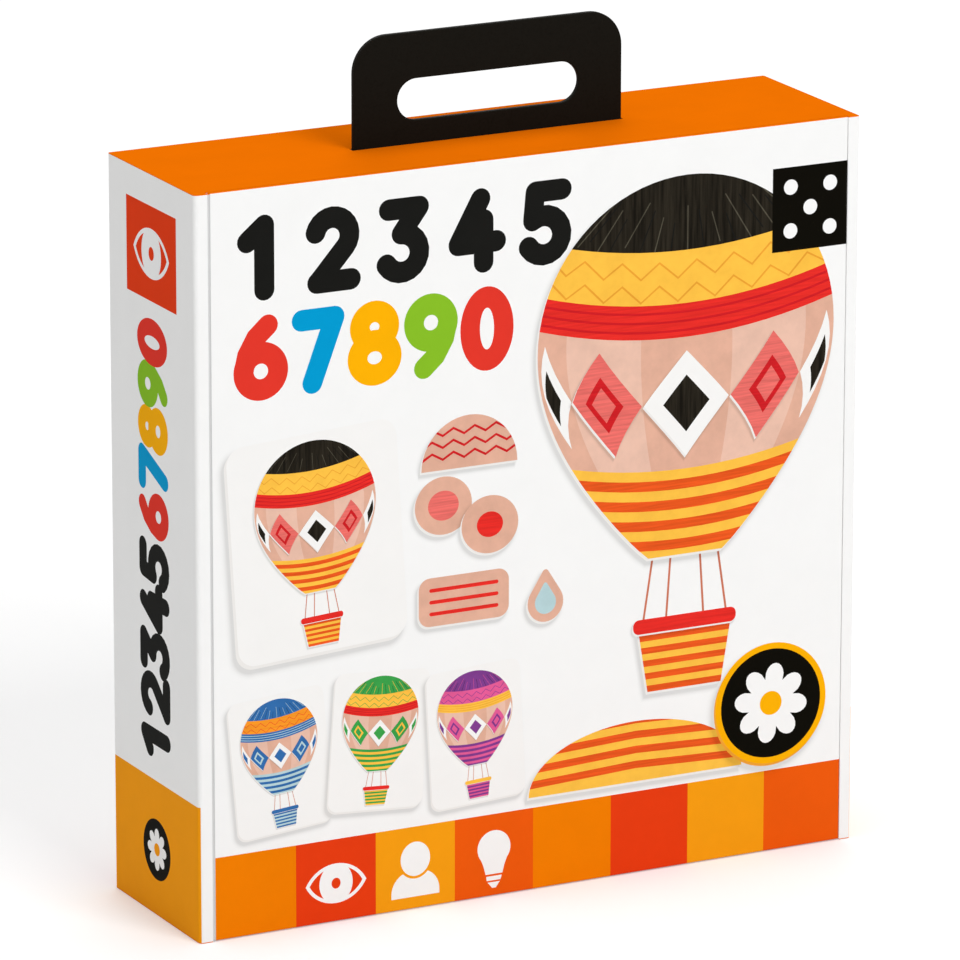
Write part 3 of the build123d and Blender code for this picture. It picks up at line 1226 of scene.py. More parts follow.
    def paint_shadows(self, mesh: bpy.types.Mesh, points: Sequence[Vector], tops: Sequence[int]) -> None:
        """Write the darkness of each face corner to the attribute that the inks read.

        Args:
            mesh: The mesh, with one corner for each point.
            points: The corners on the flat sheet.
            tops: Number of the uppermost region on each face.
        """
        attribute = mesh.attributes.new("shadow", "FLOAT", "CORNER")
        values = [0.0] * len(mesh.loops)
        for polygon, top in zip(mesh.polygons, tops):
            corners = [points[i] for i in polygon.vertices]
            shadows = self.casters_over(sum(corners, Vector((0.0, 0.0))) / len(corners), top)
            for loop, corner in zip(polygon.loop_indices, corners):
                values[loop] = self.darkness(corner, shadows)
        attribute.data.foreach_set("value", values)

    @staticmethod
    def drop_loose(mesh: bpy.types.Mesh) -> None:
        """Remove corners that carry no face.

        Args:
            mesh: The mesh to clean.
        """
        cleaned = bmesh.new()
        cleaned.from_mesh(mesh)
        loose = [v for v in cleaned.verts if not v.link_faces]
        bmesh.ops.delete(cleaned, geom=loose, context="VERTS")
        cleaned.to_mesh(mesh)
        cleaned.free()

    def build(
        self,
        name: str,
        fold: Callable[[float, float], Vector],
        thickness: float,
        core: Optional[Plain] = None,
    ) -> bpy.types.Object:
        """Build the sheet's object.

        Args:
            name: Name of the object.
            fold: Place in millimetres of a point of the sheet, printed side outwards.
            thickness: Thickness of the paper or board in millimetres.
            core: Board that shows at the cut edges and the back; without it they have the print's colour.

        Returns:
            The object, with its thickness on the unprinted side.
        """
        points, triangles, tops = self.triangulate()
        mesh = bpy.data.meshes.new(name)
        mesh.from_pydata([fold(p.x, p.y) * MM for p in points], [], triangles)
        inks = list(dict.fromkeys(region.ink for region in self.regions))
        for ink in inks:
            mesh.materials.append(ink.material())
        mesh.polygons.foreach_set("material_index", [inks.index(self.regions[top].ink) for top in tops])
        self.paint_shadows(mesh, points, tops)
        mesh.update()
        self.drop_loose(mesh)
        thing = bpy.data.objects.new(name, mesh)
        bpy.context.scene.collection.objects.link(thing)
        wall = thing.modifiers.new("paper_thickness", "SOLIDIFY")
        wall.thickness = thickness * MM
        wall.offset = -1.0
        wall.use_even_offset = True
        if core is not None:
            mesh.materials.append(core.material())
            wall.material_offset = len(inks)
            wall.material_offset_rim = len(inks)
        return thing


def fold_back(position: float, edge: float, radius: float) -> tuple[float, float]:
    """Follow a sheet past an edge where it turns back through a quarter turn.

    Args:
        position: Place on the flat sheet.
        edge: Outside of the folded edge.
        radius: Radius of the fold.

    Returns:
        Place across and depth behind the face.
    """
    start = edge - radius
    if position <= start:
        return position, 0.0
    turn = (position - start) / radius
    if turn <= math.pi / 2:
        return start + radius * math.sin(turn), radius * (1 - math.cos(turn))
    return edge, radius + (position - start - radius * math.pi / 2)


@dataclass(frozen=True)
class CardPlace:
    """Where a pictured card lies on a sheet, and its size."""

    across: float
    up: float
    tilt: float = 0.0
    half_width: float = 17.2
    half_height: float = 23.5
    corner_share: float = 0.2
    edge_shares: Pair = (0.03, 0.036)
    shadow_least: float = 1.0
    shadow_share: float = 0.045
    figure_share: float = 0.0098
    figure_middle: float = 45.0

    def draw(self, art: Drawing, figure: Drawing) -> None:
        """Draw the card with a balloon on it.

        Args:
            art: The drawing to add to.
            figure: The balloon.
        """
        corner = self.half_width * self.corner_share
        flat = Draw.box(-self.half_width, -self.half_height, self.half_width, self.half_height, corner)
        card = Draw.move(flat, self.across, self.up, self.tilt)
        aside, down = (self.half_width * share for share in self.edge_shares)
        shadow = self.shadow_least + self.shadow_share * self.half_width
        art.add(Draw.move(card, -aside, -down), Ink.EDGE, shadow=shadow)
        art.add(card, Ink.CARD)
        scale = self.half_height * self.figure_share
        drop = self.figure_middle * scale
        tilt = math.radians(self.tilt)
        mouth = (self.across + drop * math.sin(tilt), self.up - drop * math.cos(tilt))
        art.merge(figure, *mouth, self.tilt, scale)


@dataclass
class FrontArt:
    """Print of the front, in millimetres from the lower left corner of the box."""

    left: float
    right: float
    high: float
    bleed: float = 8.0
    band_height: float = 28.5
    band_count: int = 8
    sign_drop: float = 0.9
    eye_scale: float = 1.1
    numeral_height: float = 28.5
    title_rows: tuple[Point, Point] = ((13.7, 212.7), (13.7, 179.8))
    title_pitches: Pair = (25.6, 20.3)
    die_left: float = 209.6
    die_low: float = 207.0
    die_side: float = 28.4
    die_step: float = 7.4
    die_dot: float = 2.6
    small_cards: tuple[CardPlace, ...] = (
        CardPlace(29.5, 57.5, 5.0),
        CardPlace(65.0, 60.0, -4.0),
        CardPlace(100.5, 57.0, 3.0),
    )
    large_card: CardPlace = CardPlace(43.0, 130.0, 3.5, 30.5, 37.0)
    small_shadow: float = 1.6
    large_shadow: float = 1.8
    balloon_mouth: Point = (178.0, 108.4)
    balloon_scale: float = 0.92
    hill_middle: Point = (160.0, 32.0)
    hill_half: Pair = (40.0, 21.0)
    hill_stripe: float = 2.6
    hill_stripes: int = 4
    hill_bend: float = 2.0
    token_middle: Point = (211.0, 52.0)
    token_radius: float = 21.0
    token_tilt: float = -8.0
    piece_lift: float = 0.7
    piece_shadow: float = 1.6
    crown_middle: Point = (98.0, 148.5)
    crown_radius: float = 17.5
    crown_rows: Values = (3.5, 7.5, 11.5)
    crown_wave: tuple[float, int] = (2.2, 9)
    crown_pen: float = 0.9
    round_half: Pair = (10.4, 9.8)
    round_flatness: float = 0.9
    rounds: tuple[tuple[Point, PrintInk, float], ...] = (
        ((88.5, 136.5), Ink.ROSE, 5.6),
        ((105.5, 128.0), Ink.SCARLET, 4.8),
    )
    bar_box: tuple[float, float, float, float] = (79.5, 96.0, 112.5, 112.5)
    bar_corner: float = 4.0
    bar_rows: Values = (4.2, 8.2, 12.2)
    bar_margin: float = 4.5
    bar_pen: float = 1.3
    drop_foot: Point = (126.0, 92.0)
    drop_radii: Pair = (6.6, 3.9)
    drop_heights: Pair = (19.0, 11.4)
    drop_tips: Pair = (1.2, 0.7)

    def __post_init__(self) -> None:
        """Start with an empty drawing."""
        self.art = Drawing()

    def draw_band(self) -> None:
        """Squares along the lower edge, with their signs."""
        colours = (Ink.ORANGE, Ink.VERMILION, Ink.AMBER, Ink.DEEP_ORANGE)
        pitch = (self.right - self.left) / self.band_count
        for i in range(self.band_count):
            start = self.left + i * pitch - (0 if i else self.bleed)
            end = self.left + (i + 1) * pitch + (0 if i < self.band_count - 1 else self.bleed)
            self.art.add(Draw.box(start, -self.bleed, end, self.band_height), colours[i % len(colours)])
        level = self.band_height / 2 - self.sign_drop
        signs = (
            (Pictograms.eye(Ink.VERMILION), self.eye_scale),
            (Pictograms.player(Ink.AMBER), 1.0),
            (Pictograms.bulb(), 1.0),
        )
        for i, (sign, scale) in enumerate(signs):
            self.art.merge(sign, self.left + (i + 1.5) * pitch, level, 0.0, scale)

    def draw_title(self) -> None:
        """Two rows of numerals."""
        for (digits, inks), place, pitch in zip(Numerals.TITLE, self.title_rows, self.title_pitches):
            self.art.merge(Numerals.row(digits, self.numeral_height, pitch, inks, Ink.WHITE), *place)

    def draw_die(self) -> None:
        """Black square with the five dots of a die at the upper right."""
        left, low, side = self.die_left, self.die_low, self.die_side
        self.art.add(Draw.box(left, low, self.right + self.bleed, low + side), Ink.DEEP_BLACK)
        for x, y in ((-1, -1), (1, -1), (0, 0), (-1, 1), (1, 1)):
            place = (left + side / 2 + self.die_step * x, low + side / 2 + self.die_step * y)
            self.art.add(Draw.ellipse(*place, self.die_dot, self.die_dot, steps=28), Ink.WHITE)

    def draw_cards(self) -> None:
        """Pictures of the game's cards."""
        for place, variant in zip(self.small_cards, GAME_VARIANTS):
            place.draw(self.art, Balloon(variant, shadow=self.small_shadow).draw())
        self.large_card.draw(self.art, Balloon(shadow=self.large_shadow).draw())

    def lay_piece(self, outline: Outline) -> Region:
        """Print a loose peach piece and return its top face."""
        return self.art.raised(outline, Ink.PEACH, self.piece_lift, self.piece_shadow)

    def draw_loose_pieces(self) -> None:
        """Loose pieces between the large card and the balloon."""
        u, v = self.crown_middle
        crown = self.lay_piece(Draw.arc(u, v, self.crown_radius, 0, 180, steps=24))
        for row in self.crown_rows:
            line = Patterns.zigzag(u - self.crown_radius, u + self.crown_radius, v + row, *self.crown_wave)
            self.art.add(Draw.stroke(line, self.crown_pen), Ink.CRIMSON, crown)
        for middle, ink, size in self.rounds:
            self.lay_piece(Draw.ellipse(*middle, *self.round_half))
            self.art.add(Draw.ellipse(*middle, size, size * self.round_flatness), ink)
        left, low, right, _ = self.bar_box
        self.lay_piece(Draw.box(*self.bar_box, self.bar_corner))
        for row in self.bar_rows:
            line = [(left + self.bar_margin, low + row), (right - self.bar_margin, low + row)]
            self.art.add(Draw.stroke(line, self.bar_pen), Ink.SCARLET)
        self.draw_drop()

    def draw_drop(self) -> None:
        """Drop piece with a smaller blue drop on it."""
        u, v = self.drop_foot
        outer, inner = (
            Draw.drop(u, v + (self.drop_radii[0] - radius), radius, height, tip)
            for radius, height, tip in zip(self.drop_radii, self.drop_heights, self.drop_tips)
        )
        self.lay_piece(outer)
        self.art.add(inner, Ink.PALE_BLUE)

    def draw_hill(self) -> None:
        """Striped hill under the balloon, with a straight foot."""
        middle, foot = self.hill_middle
        wide, tall = self.hill_half
        outline = [(middle + wide * x, foot + tall * y) for x, y in Draw.arc(0, 0, 1.0, 0, 180, steps=40)]
        hill = self.art.raised(outline, Ink.STRAW)
        left, right = middle - wide - self.bleed, middle + wide + self.bleed
        for i in range(self.hill_stripes):
            low = foot + (2 * i + 1) * self.hill_stripe
            stripe = [(left, low), (middle, low + self.hill_bend), (right, low)]
            stripe += [(x, y + self.hill_stripe) for x, y in reversed(stripe)]
            self.art.add(stripe, Ink.PAPRIKA, hill)

    def draw_all(self) -> None:
        """Everything that is printed on the front."""
        self.draw_title()
        self.draw_hill()
        self.draw_loose_pieces()
        self.draw_cards()
        self.art.merge(Balloon().draw(), *self.balloon_mouth, 0.0, self.balloon_scale)
        self.draw_die()
        self.draw_band()
        self.art.merge(Patterns.token(self.token_radius), *self.token_middle, self.token_tilt)
        top = Draw.box(self.left - self.bleed, self.high, self.right + self.bleed, self.high + self.bleed)
        self.art.add(top, Ink.TOP_ORANGE)


@dataclass
class FrontCover:
    """The hinged front with its printed paper."""

    fold_radius: float = 0.4
    fold_steps: int = 4
    paper: float = 0.25
    flap_gap: float = 0.05

    def __post_init__(self) -> None:
        """Take the cover's place from the frame, in millimetres."""
        low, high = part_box("cover_print")
        self.left, self.front, self.low = (v / MM for v in low)
        self.right, self.back, self.high = (v / MM for v in high)
        wrap_low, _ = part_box("side_wrap")
        self.box_left = wrap_low[0] / MM

    @property
    def arc(self) -> float:
        """Length of the paper in one round fold."""
        return self.fold_radius * math.pi / 2

    @property
    def flap(self) -> float:
        """Length on the flat sheet from a fold's start to the end of the flap behind it."""
        return self.arc + self.back - self.front - self.fold_radius

    def fold(self, u: float, v: float) -> Vector:
        """Fold a point of the flat sheet over the cover's edges.

        Args:
            u: Distance from the box's left side.
            v: Height above the floor.

        Returns:
            Its place, in millimetres.
        """
        x = u + self.box_left
        across, depth_right = fold_back(x, self.right, self.fold_radius)
        up, depth_up = fold_back(v, self.high, self.fold_radius)
        down, depth_down = fold_back(-up, -self.low, self.fold_radius)
        return Vector((across, self.front + depth_right + depth_up + depth_down, -down))

    def sheet_outline(self) -> Outline:
        """Draw round the flat sheet with its three flaps, which stay a little apart at the corners.

        Returns:
            Its outline, anticlockwise.
        """
        left = self.left - self.box_left
        right = self.right - self.box_left - self.fold_radius
        low = self.low + self.fold_radius
        high = self.high - self.fold_radius
        arc, flap, gap = self.arc, self.flap, self.flap_gap
        return [
            (left, low - flap),
            (right + arc - gap, low - flap),
            (right + arc, low - arc),
            (right + flap, low - arc + gap),
            (right + flap, high + arc - gap),
            (right + arc, high + arc),
            (right + arc - gap, high + flap),
            (left, high + flap),
        ]

    def fold_lines(self) -> list[Outline]:
        """Draw the mesh lines along the round folds.

        Returns:
            The lines.
        """
        right = self.right - self.box_left
        past = self.flap
        lines: list[Outline] = []
        for i in range(self.fold_steps + 1):
            step = self.arc * i / self.fold_steps - self.fold_radius
            lines.append([(right + step, self.low - past), (right + step, self.high + past)])
            lines.append([(0.0, self.high + step), (right + past, self.high + step)])
            lines.append([(0.0, self.low - step), (right + past, self.low - step)])
        return lines

    def build(self) -> None:
        """Make the printed paper of the cover."""
        half_fold = self.arc / 2 - self.fold_radius
        front = FrontArt(self.left - self.box_left, self.right - self.box_left, self.high + half_fold)
        front.draw_all()
        sheet = SheetMesh([Region(self.sheet_outline(), Ink.WHITE)], front.art, self.fold_lines())
        paper = sheet.build("cover_printed_paper", self.fold, self.paper)
        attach(paper, "cover")
        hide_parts("cover_print")
        LOG.info("cover_printed_paper: %d faces", len(paper.data.polygons))


@dataclass
class HingePaper:
    """Paper that bridges the crease between the fixed strip and the cover; its grey is painted shade of the
    groove.
    """

    groove: float = 0.35
    paper: float = 0.25
    fold_radius: float = 0.4
    steps_across: int = 8
    steps_up: int = 24
    steps_round: int = 4

    def __post_init__(self) -> None:
        """Take the crease's place from the frame, in millimetres."""
        _, strip_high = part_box("hinge_lip")
        cover_low, cover_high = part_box("cover_print")
        wrap_low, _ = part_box("side_wrap")
        self.left = strip_high[0] / MM
        self.right = cover_low[0] / MM
        self.front = wrap_low[1] / MM
        self.low, self.high = cover_low[2] / MM, cover_high[2] / MM
        self.flap_end = cover_high[1] / MM - self.front

    def profile(self, dip: float) -> list[Point]:
        """Line up the front and back over the top.

        Args:
            dip: How far the line lies behind the faces.

        Returns:
            Depth behind the front and level of each point.
        """
        radius = self.fold_radius
        straight = self.high - radius - dip
        line = [(dip, self.low + (straight - self.low) * i / self.steps_up) for i in range(self.steps_up + 1)]
        for i in range(1, self.steps_round + 1):
            turn = math.pi / 2 * i / self.steps_round
            line.append((dip + radius * (1 - math.cos(turn)), straight + radius * math.sin(turn)))
        line.append((self.flap_end, self.high - dip))
        return line

    def build(self) -> None:
        """Make the crease paper."""
        corners: list[Vector] = []
        for i in range(self.steps_across + 1):
            share = i / self.steps_across
            x = self.left + (self.right - self.left) * share
            for depth, level in self.profile(self.groove * math.sin(math.pi * share)):
                corners.append(Vector((x, self.front + depth, level)) * MM)
        rows = len(corners) // (self.steps_across + 1)
        faces = [
            (i * rows + row, (i + 1) * rows + row, (i + 1) * rows + row + 1, i * rows + row + 1)
            for i in range(self.steps_across)
            for row in range(rows - 1)
        ]
        mesh = bpy.data.meshes.new("hinge_paper")
        mesh.from_pydata(corners, [], faces)
        # Grey crease paper: painted shade of the groove.
        mesh.materials.append(Ink.CREASE.material())
        mesh.materials.append(Ink.TOP_ORANGE.material())
        first_orange = self.steps_up + self.steps_round // 2
        for face in mesh.polygons:
            face.material_index = int(face.index % (rows - 1) >= first_orange)
        paper = bpy.data.objects.new("hinge_paper", mesh)
        bpy.context.scene.collection.objects.link(paper)
        wall = paper.modifiers.new("paper_thickness", "SOLIDIFY")
        wall.thickness = self.paper * MM
        wall.offset = -1.0
        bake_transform(paper)
        LOG.info("hinge_paper: %d faces", len(faces))


@dataclass
class SideArt:
    """Print of the narrow sides and the back, in millimetres above the floor."""

    depth: float
    width: float
    bleed: float = 5.0
    foot_height: float = 46.3
    badge_level: float = 22.6
    badge_radius: float = 10.4
    badge_flower: float = 7.2
    sign_level: float = 223.6
    sign_half: Pair = (18.8, 15.8)
    sign_scale: float = 1.34
    numeral_height: float = 23.0
    title_shift: float = 11.5
    title_starts: Pair = (52.5, 129.0)
    title_pitches: Pair = (14.9, 14.4)
    band_height: float = 28.5
    band_count: int = 8
    card_shares: Values = (0.19, 0.5, 0.81)
    card_level: float = 129.0
    card_half: Pair = (31.0, 37.0)
    figure_share: float = 0.0087
    figure_shadow: float = 1.6
    piece_lift: float = 0.6
    piece_shadow: float = 1.4
    number_level: float = 186.0
    number_radius: float = 11.0
    number_height: float = 13.0
    disc_middle: Point = (-13.0, 66.0)
    disc_radii: Pair = (8.5, 4.8)
    drop_foot: Point = (12.0, 55.0)
    drop_size: Pair = (7.0, 20.0)

    def __post_init__(self) -> None:
        """Start with an empty drawing."""
        self.art = Drawing()

    def draw_spine(self, start: float) -> None:
        """Print one narrow side.

        Args:
            start: Where the side starts on the flat paper, at its left seen from outside.
        """
        art = self.art
        middle = start + self.depth / 2
        art.add(Draw.box(start, -self.bleed, start + self.depth, self.foot_height), Ink.AMBER)
        badge = Draw.ellipse(middle, self.badge_level, self.badge_radius, self.badge_radius)
        art.add(badge, Ink.DEEP_BLACK)
        art.merge(Patterns.flower(middle, self.badge_level, self.badge_flower, Ink.WHITE, Ink.AMBER), 0, 0)
        half, rise = self.sign_half
        level = self.sign_level
        art.add(Draw.box(middle - half, level - rise, middle + half, level + rise), Ink.VERMILION)
        art.merge(Pictograms.eye(Ink.VERMILION), middle, level, 0.0, self.sign_scale)
        for (digits, inks), low, pitch in zip(Numerals.TITLE, self.title_starts, self.title_pitches):
            row = Numerals.row(digits, self.numeral_height, pitch, inks, Ink.WHITE)
            art.merge(row, middle + self.title_shift, low, 90.0)

    def draw_back(self, start: float) -> None:
        """Print the back: a band of squares and three numbered cards with two loose pieces each.

        Args:
            start: Where the back starts on the flat paper.
        """
        art = self.art
        colours = (Ink.AMBER, Ink.DEEP_ORANGE, Ink.ORANGE, Ink.VERMILION)
        pitch = self.width / self.band_count
        for i in range(self.band_count):
            left = start + i * pitch
            art.add(Draw.box(left, -self.bleed, left + pitch, self.band_height), colours[i % len(colours)])
        marks = (
            (Ink.ORANGE, Ink.ROSE, Ink.PALE_BLUE),
            (Ink.VERMILION, Ink.LEAF, Ink.STRAW),
            (Ink.AMBER, Ink.PLUM, Ink.PINK),
        )
        for i, (number_ink, disc_ink, drop_ink) in enumerate(marks):
            u = start + self.width * self.card_shares[i]
            card = CardPlace(u, self.card_level, 0.0, *self.card_half, figure_share=self.figure_share)
            card.draw(art, Balloon(GAME_VARIANTS[i], shadow=self.figure_shadow).draw())
            level, height = self.number_level, self.number_height
            art.add(Draw.ellipse(u, level, self.number_radius, self.number_radius), number_ink)
            left = u - Numerals.WIDTH * height / 2
            art.merge(Numerals.draw(str(i + 1), height, Ink.WHITE, number_ink), left, level - height / 2)
            x, y = self.disc_middle
            outer, inner = self.disc_radii
            disc = Draw.ellipse(u + x, y, outer, outer)
            art.raised(disc, Ink.PEACH, self.piece_lift, self.piece_shadow)
            art.add(Draw.ellipse(u + x, y, inner, inner), disc_ink)
            x, y = self.drop_foot
            drop = Draw.drop(u + x, y, *self.drop_size)
            art.raised(drop, drop_ink, self.piece_lift, self.piece_shadow)


@dataclass
class TrayWrap:
    """White printed paper round the left side, the back and the right side of the tray."""

    paper: float = 0.25
    hinge_radius: float = 1.6
    plain_radius: float = 0.6
    turned_radius: float = 0.3
    turned_thickness: float = 0.15
    turned_depth: float = 1.75
    arc_steps: int = 6

    def __post_init__(self) -> None:
        """Lay out the paper's path round the box, in millimetres, anticlockwise seen from above."""
        low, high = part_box("side_wrap")
        self.left, self.front, self.low = (v / MM for v in low)
        self.right, self.back, self.high = (v / MM for v in high)
        strip_low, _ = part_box("closure_strip")
        _, lip_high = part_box("hinge_lip")
        edge = strip_low[0] / MM - self.turned_thickness
        turns = (
            ((edge, self.front), self.turned_radius),
            ((self.right, self.front), self.plain_radius),
            ((self.right, self.back), self.plain_radius),
            ((self.left, self.back), self.plain_radius),
            ((self.left, self.front), self.hinge_radius),
        )
        here = Vector((edge, self.front + self.turned_depth))
        goal = Vector((lip_high[0] / MM, self.front))
        headings = [Vector(h) for h in ((0, -1), (1, 0), (0, 1), (-1, 0), (0, -1), (1, 0))]
        self.pieces: list[tuple[float, float, Vector, Vector, float]] = []
        self.face_start: list[float] = []
        length = 0.0
        for i, (corner, radius) in enumerate(turns):
            run_end = Vector(corner) - headings[i] * radius
            run = (run_end - here).length
            self.face_start.append(length - (radius if i == 0 else turns[i - 1][1]))
            self.pieces.append((length, run, here.copy(), headings[i], 0.0))
            length += run
            self.pieces.append((length, radius * math.pi / 2, run_end, headings[i], radius))
            length += radius * math.pi / 2
            here = Vector(corner) + headings[i + 1] * radius
        self.pieces.append((length, (goal - here).length, here, headings[-1], 0.0))
        self.length = length + (goal - here).length

    def fold(self, u: float, v: float) -> Vector:
        """Place of a point of the flat paper.

        Args:
            u: Distance along the paper.
            v: Height above the floor.

        Returns:
            The place, in millimetres.
        """
        start, _, origin, heading, radius = next(
            piece for piece in reversed(self.pieces) if u >= piece[0] or piece[0] == 0.0
        )
        place = origin + heading * (u - start)
        if radius > 0.0:
            turn = (u - start) / radius
            inwards = Vector((-heading.y, heading.x))
            place = origin + heading * (radius * math.sin(turn)) + inwards * (radius * (1 - math.cos(turn)))
        return Vector((place.x, place.y, v))

    def fold_lines(self) -> list[Outline]:
        """Draw the mesh lines along the round corners.

        Returns:
            The lines.
        """
        lines: list[Outline] = []
        for start, run, _, _, radius in self.pieces:
            if radius > 0:
                for i in range(self.arc_steps + 1):
                    u = start + run * i / self.arc_steps
                    lines.append([(u, self.low - CUT_REACH), (u, self.high + CUT_REACH)])
        return lines

    def build(self) -> None:
        """Make the paper."""
        sides = SideArt(self.back - self.front, self.right - self.left)
        _, _, right_side, back_side, left_side = self.face_start
        sides.draw_spine(right_side)
        sides.draw_back(back_side)
        sides.draw_spine(left_side)
        ground = Region(Draw.box(0.0, self.low, self.length, self.high), Ink.WHITE)
        sheet = SheetMesh([ground], sides.art, self.fold_lines())
        paper = sheet.build("side_printed_paper", self.fold, self.paper)
        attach(paper, "tray")
        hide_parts("side_wrap")
        LOG.info("side_printed_paper: %d faces", len(paper.data.polygons))


class StackTree:
    """Geometry Nodes tree that stacks copies of a flat piece, each slipped a little sideways."""

    MERGE_DISTANCE = 1e-6
    BACKWARDS = (0.0, -1.0, 0.0)
    INPUTS = (
        ("Count", "NodeSocketInt"),
        ("Thickness", "NodeSocketFloat"),
        ("Pitch", "NodeSocketFloat"),
        ("Slip", "NodeSocketVector"),
        ("Seed", "NodeSocketInt"),
        ("Face", "NodeSocketMaterial"),
        ("Core", "NodeSocketMaterial"),
    )

    def __init__(self) -> None:
        """Build the tree."""
        self.tree = bpy.data.node_groups.new("leaning_stack", "GeometryNodeTree")
        face = self.tree.interface
        face.new_socket("Geometry", in_out="INPUT", socket_type="NodeSocketGeometry")
        face.new_socket("Geometry", in_out="OUTPUT", socket_type="NodeSocketGeometry")
        self.sockets: dict[str, str] = {}
        for name, kind in self.INPUTS:
            self.sockets[name] = face.new_socket(name, in_out="INPUT", socket_type=kind).identifier
        self.wire()

    def wire(self) -> None:
        """Add and join the nodes."""
        add = self.tree.nodes.new
        given = add("NodeGroupInput").outputs
        extrude = add("GeometryNodeExtrudeMesh")
        extrude.inputs["Individual"].default_value = False
        self.join(given["Geometry"], extrude.inputs["Mesh"])
        self.join(given["Thickness"], extrude.inputs["Offset Scale"])
        back = add("GeometryNodeFlipFaces")
        self.join(given["Geometry"], back.inputs["Mesh"])
        both = add("GeometryNodeJoinGeometry")
        self.join(extrude.outputs["Mesh"], both.inputs["Geometry"])
        self.join(back.outputs["Mesh"], both.inputs["Geometry"])
        piece = add("GeometryNodeMergeByDistance")
        piece.inputs["Distance"].default_value = self.MERGE_DISTANCE
        self.join(both.outputs["Geometry"], piece.inputs["Geometry"])
        step = add("ShaderNodeVectorMath")
        step.operation = "SCALE"
        step.inputs[0].default_value = self.BACKWARDS
        self.join(given["Pitch"], step.inputs["Scale"])
        line = add("GeometryNodeMeshLine")
        self.join(given["Count"], line.inputs["Count"])
        self.join(step.outputs["Vector"], line.inputs["Offset"])
        slip = add("FunctionNodeRandomValue")
        slip.data_type = "FLOAT_VECTOR"
        least = add("ShaderNodeVectorMath")
        least.operation = "SCALE"
        least.inputs["Scale"].default_value = -1.0
        self.join(given["Slip"], least.inputs[0])
        self.join(least.outputs["Vector"], slip.inputs["Min"])
        self.join(given["Slip"], slip.inputs["Max"])
        self.join(given["Seed"], slip.inputs["Seed"])
        spots = add("GeometryNodeSetPosition")
        self.join(line.outputs["Mesh"], spots.inputs["Geometry"])
        self.join(slip.outputs["Value"], spots.inputs["Offset"])
        copies = add("GeometryNodeInstanceOnPoints")
        self.join(spots.outputs["Geometry"], copies.inputs["Points"])
        self.join(piece.outputs["Geometry"], copies.inputs["Instance"])
        real = add("GeometryNodeRealizeInstances")
        self.join(copies.outputs["Instances"], real.inputs["Geometry"])
        core = add("GeometryNodeSetMaterial")
        self.join(real.outputs["Geometry"], core.inputs["Geometry"])
        self.join(given["Core"], core.inputs["Material"])
        printed = add("GeometryNodeSetMaterial")
        self.join(core.outputs["Geometry"], printed.inputs["Geometry"])
        self.join(extrude.outputs["Top"], printed.inputs["Selection"])
        self.join(given["Face"], printed.inputs["Material"])
        self.join(printed.outputs["Geometry"], add("NodeGroupOutput").inputs["Geometry"])

    def join(self, source: Socket, target: Socket) -> None:
        """Link two sockets."""
        self.tree.links.new(source, target)

    def stack(
        self, name: str, outlines: Sequence[Outline], back: float, **values: object,
    ) -> bpy.types.Object:
        """Make stacks of pieces, as one plain mesh.

        Args:
            name: Name of the object.
            outlines: One outline for each stack, in millimetres across and up.
            back: Y of the rearmost face, in metres.
            values: The tree's inputs by name.

        Returns:
            The object.
        """
        flat = bpy.data.meshes.new(name)
        corners: list[Triple] = []
        faces: list[list[int]] = []
        for outline in outlines:
            start = len(corners)
            corners += [(x * MM, back, z * MM) for x, z in outline]
            faces.append(list(range(start, len(corners))))
        flat.from_pydata(corners, [], faces)
        thing = bpy.data.objects.new(name, flat)
        bpy.context.scene.collection.objects.link(thing)
        modifier = thing.modifiers.new("leaning_stack", "NODES")
        modifier.node_group = self.tree
        for key, value in values.items():
            modifier[self.sockets[key]] = value
        view = bpy.context.evaluated_depsgraph_get()
        plain = bpy.data.meshes.new_from_object(thing.evaluated_get(view), depsgraph=view)
        thing.modifiers.remove(modifier)
        thing.data = plain
        bpy.data.meshes.remove(flat)
        plain.name = name
        return thing


@dataclass
class PieceStack:
    """Equal pieces that stand in one well of the insert, with the foremost one printed in full."""

    node: str
    outlines: list[Outline]
    inks: list[PrintInk]
    art: Drawing
    seed: int
    slot: str = "piece_print"
    thickness: float = 2.0
    air: float = 0.05
    slip: float = 0.25

    def build(self, tree: StackTree) -> None:
        """Make the stack.

        Args:
            tree: The tree that copies the pieces.
        """
        low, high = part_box(self.node)
        pitch = (self.thickness + self.air) * MM
        rest = tree.stack(
            f"{self.node}_stack",
            self.outlines,
            high[1],
            Count=round((high[1] - low[1]) / pitch) - 1,
            Thickness=self.thickness * MM,
            Pitch=pitch,
            Slip=(self.slip * MM, 0.0, 0.0),
            Seed=self.seed,
            Face=self.inks[0].material(),
            Core=PIECE_CORE.material(),
        )
        front = low[1] / MM
        grounds = [Region(outline, ink) for outline, ink in zip(self.outlines, self.inks)]
        sheet = SheetMesh(grounds, self.art)
        first = sheet.build(
            f"{self.node}_front",
            lambda x, z: Vector((x, front, z)),
            self.thickness,
            PIECE_CORE,
        )
        for piece in (rest, first):
            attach(piece, "tray")
            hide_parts(self.node)
            LOG.info("%s: %d faces", piece.name, len(piece.data.polygons))


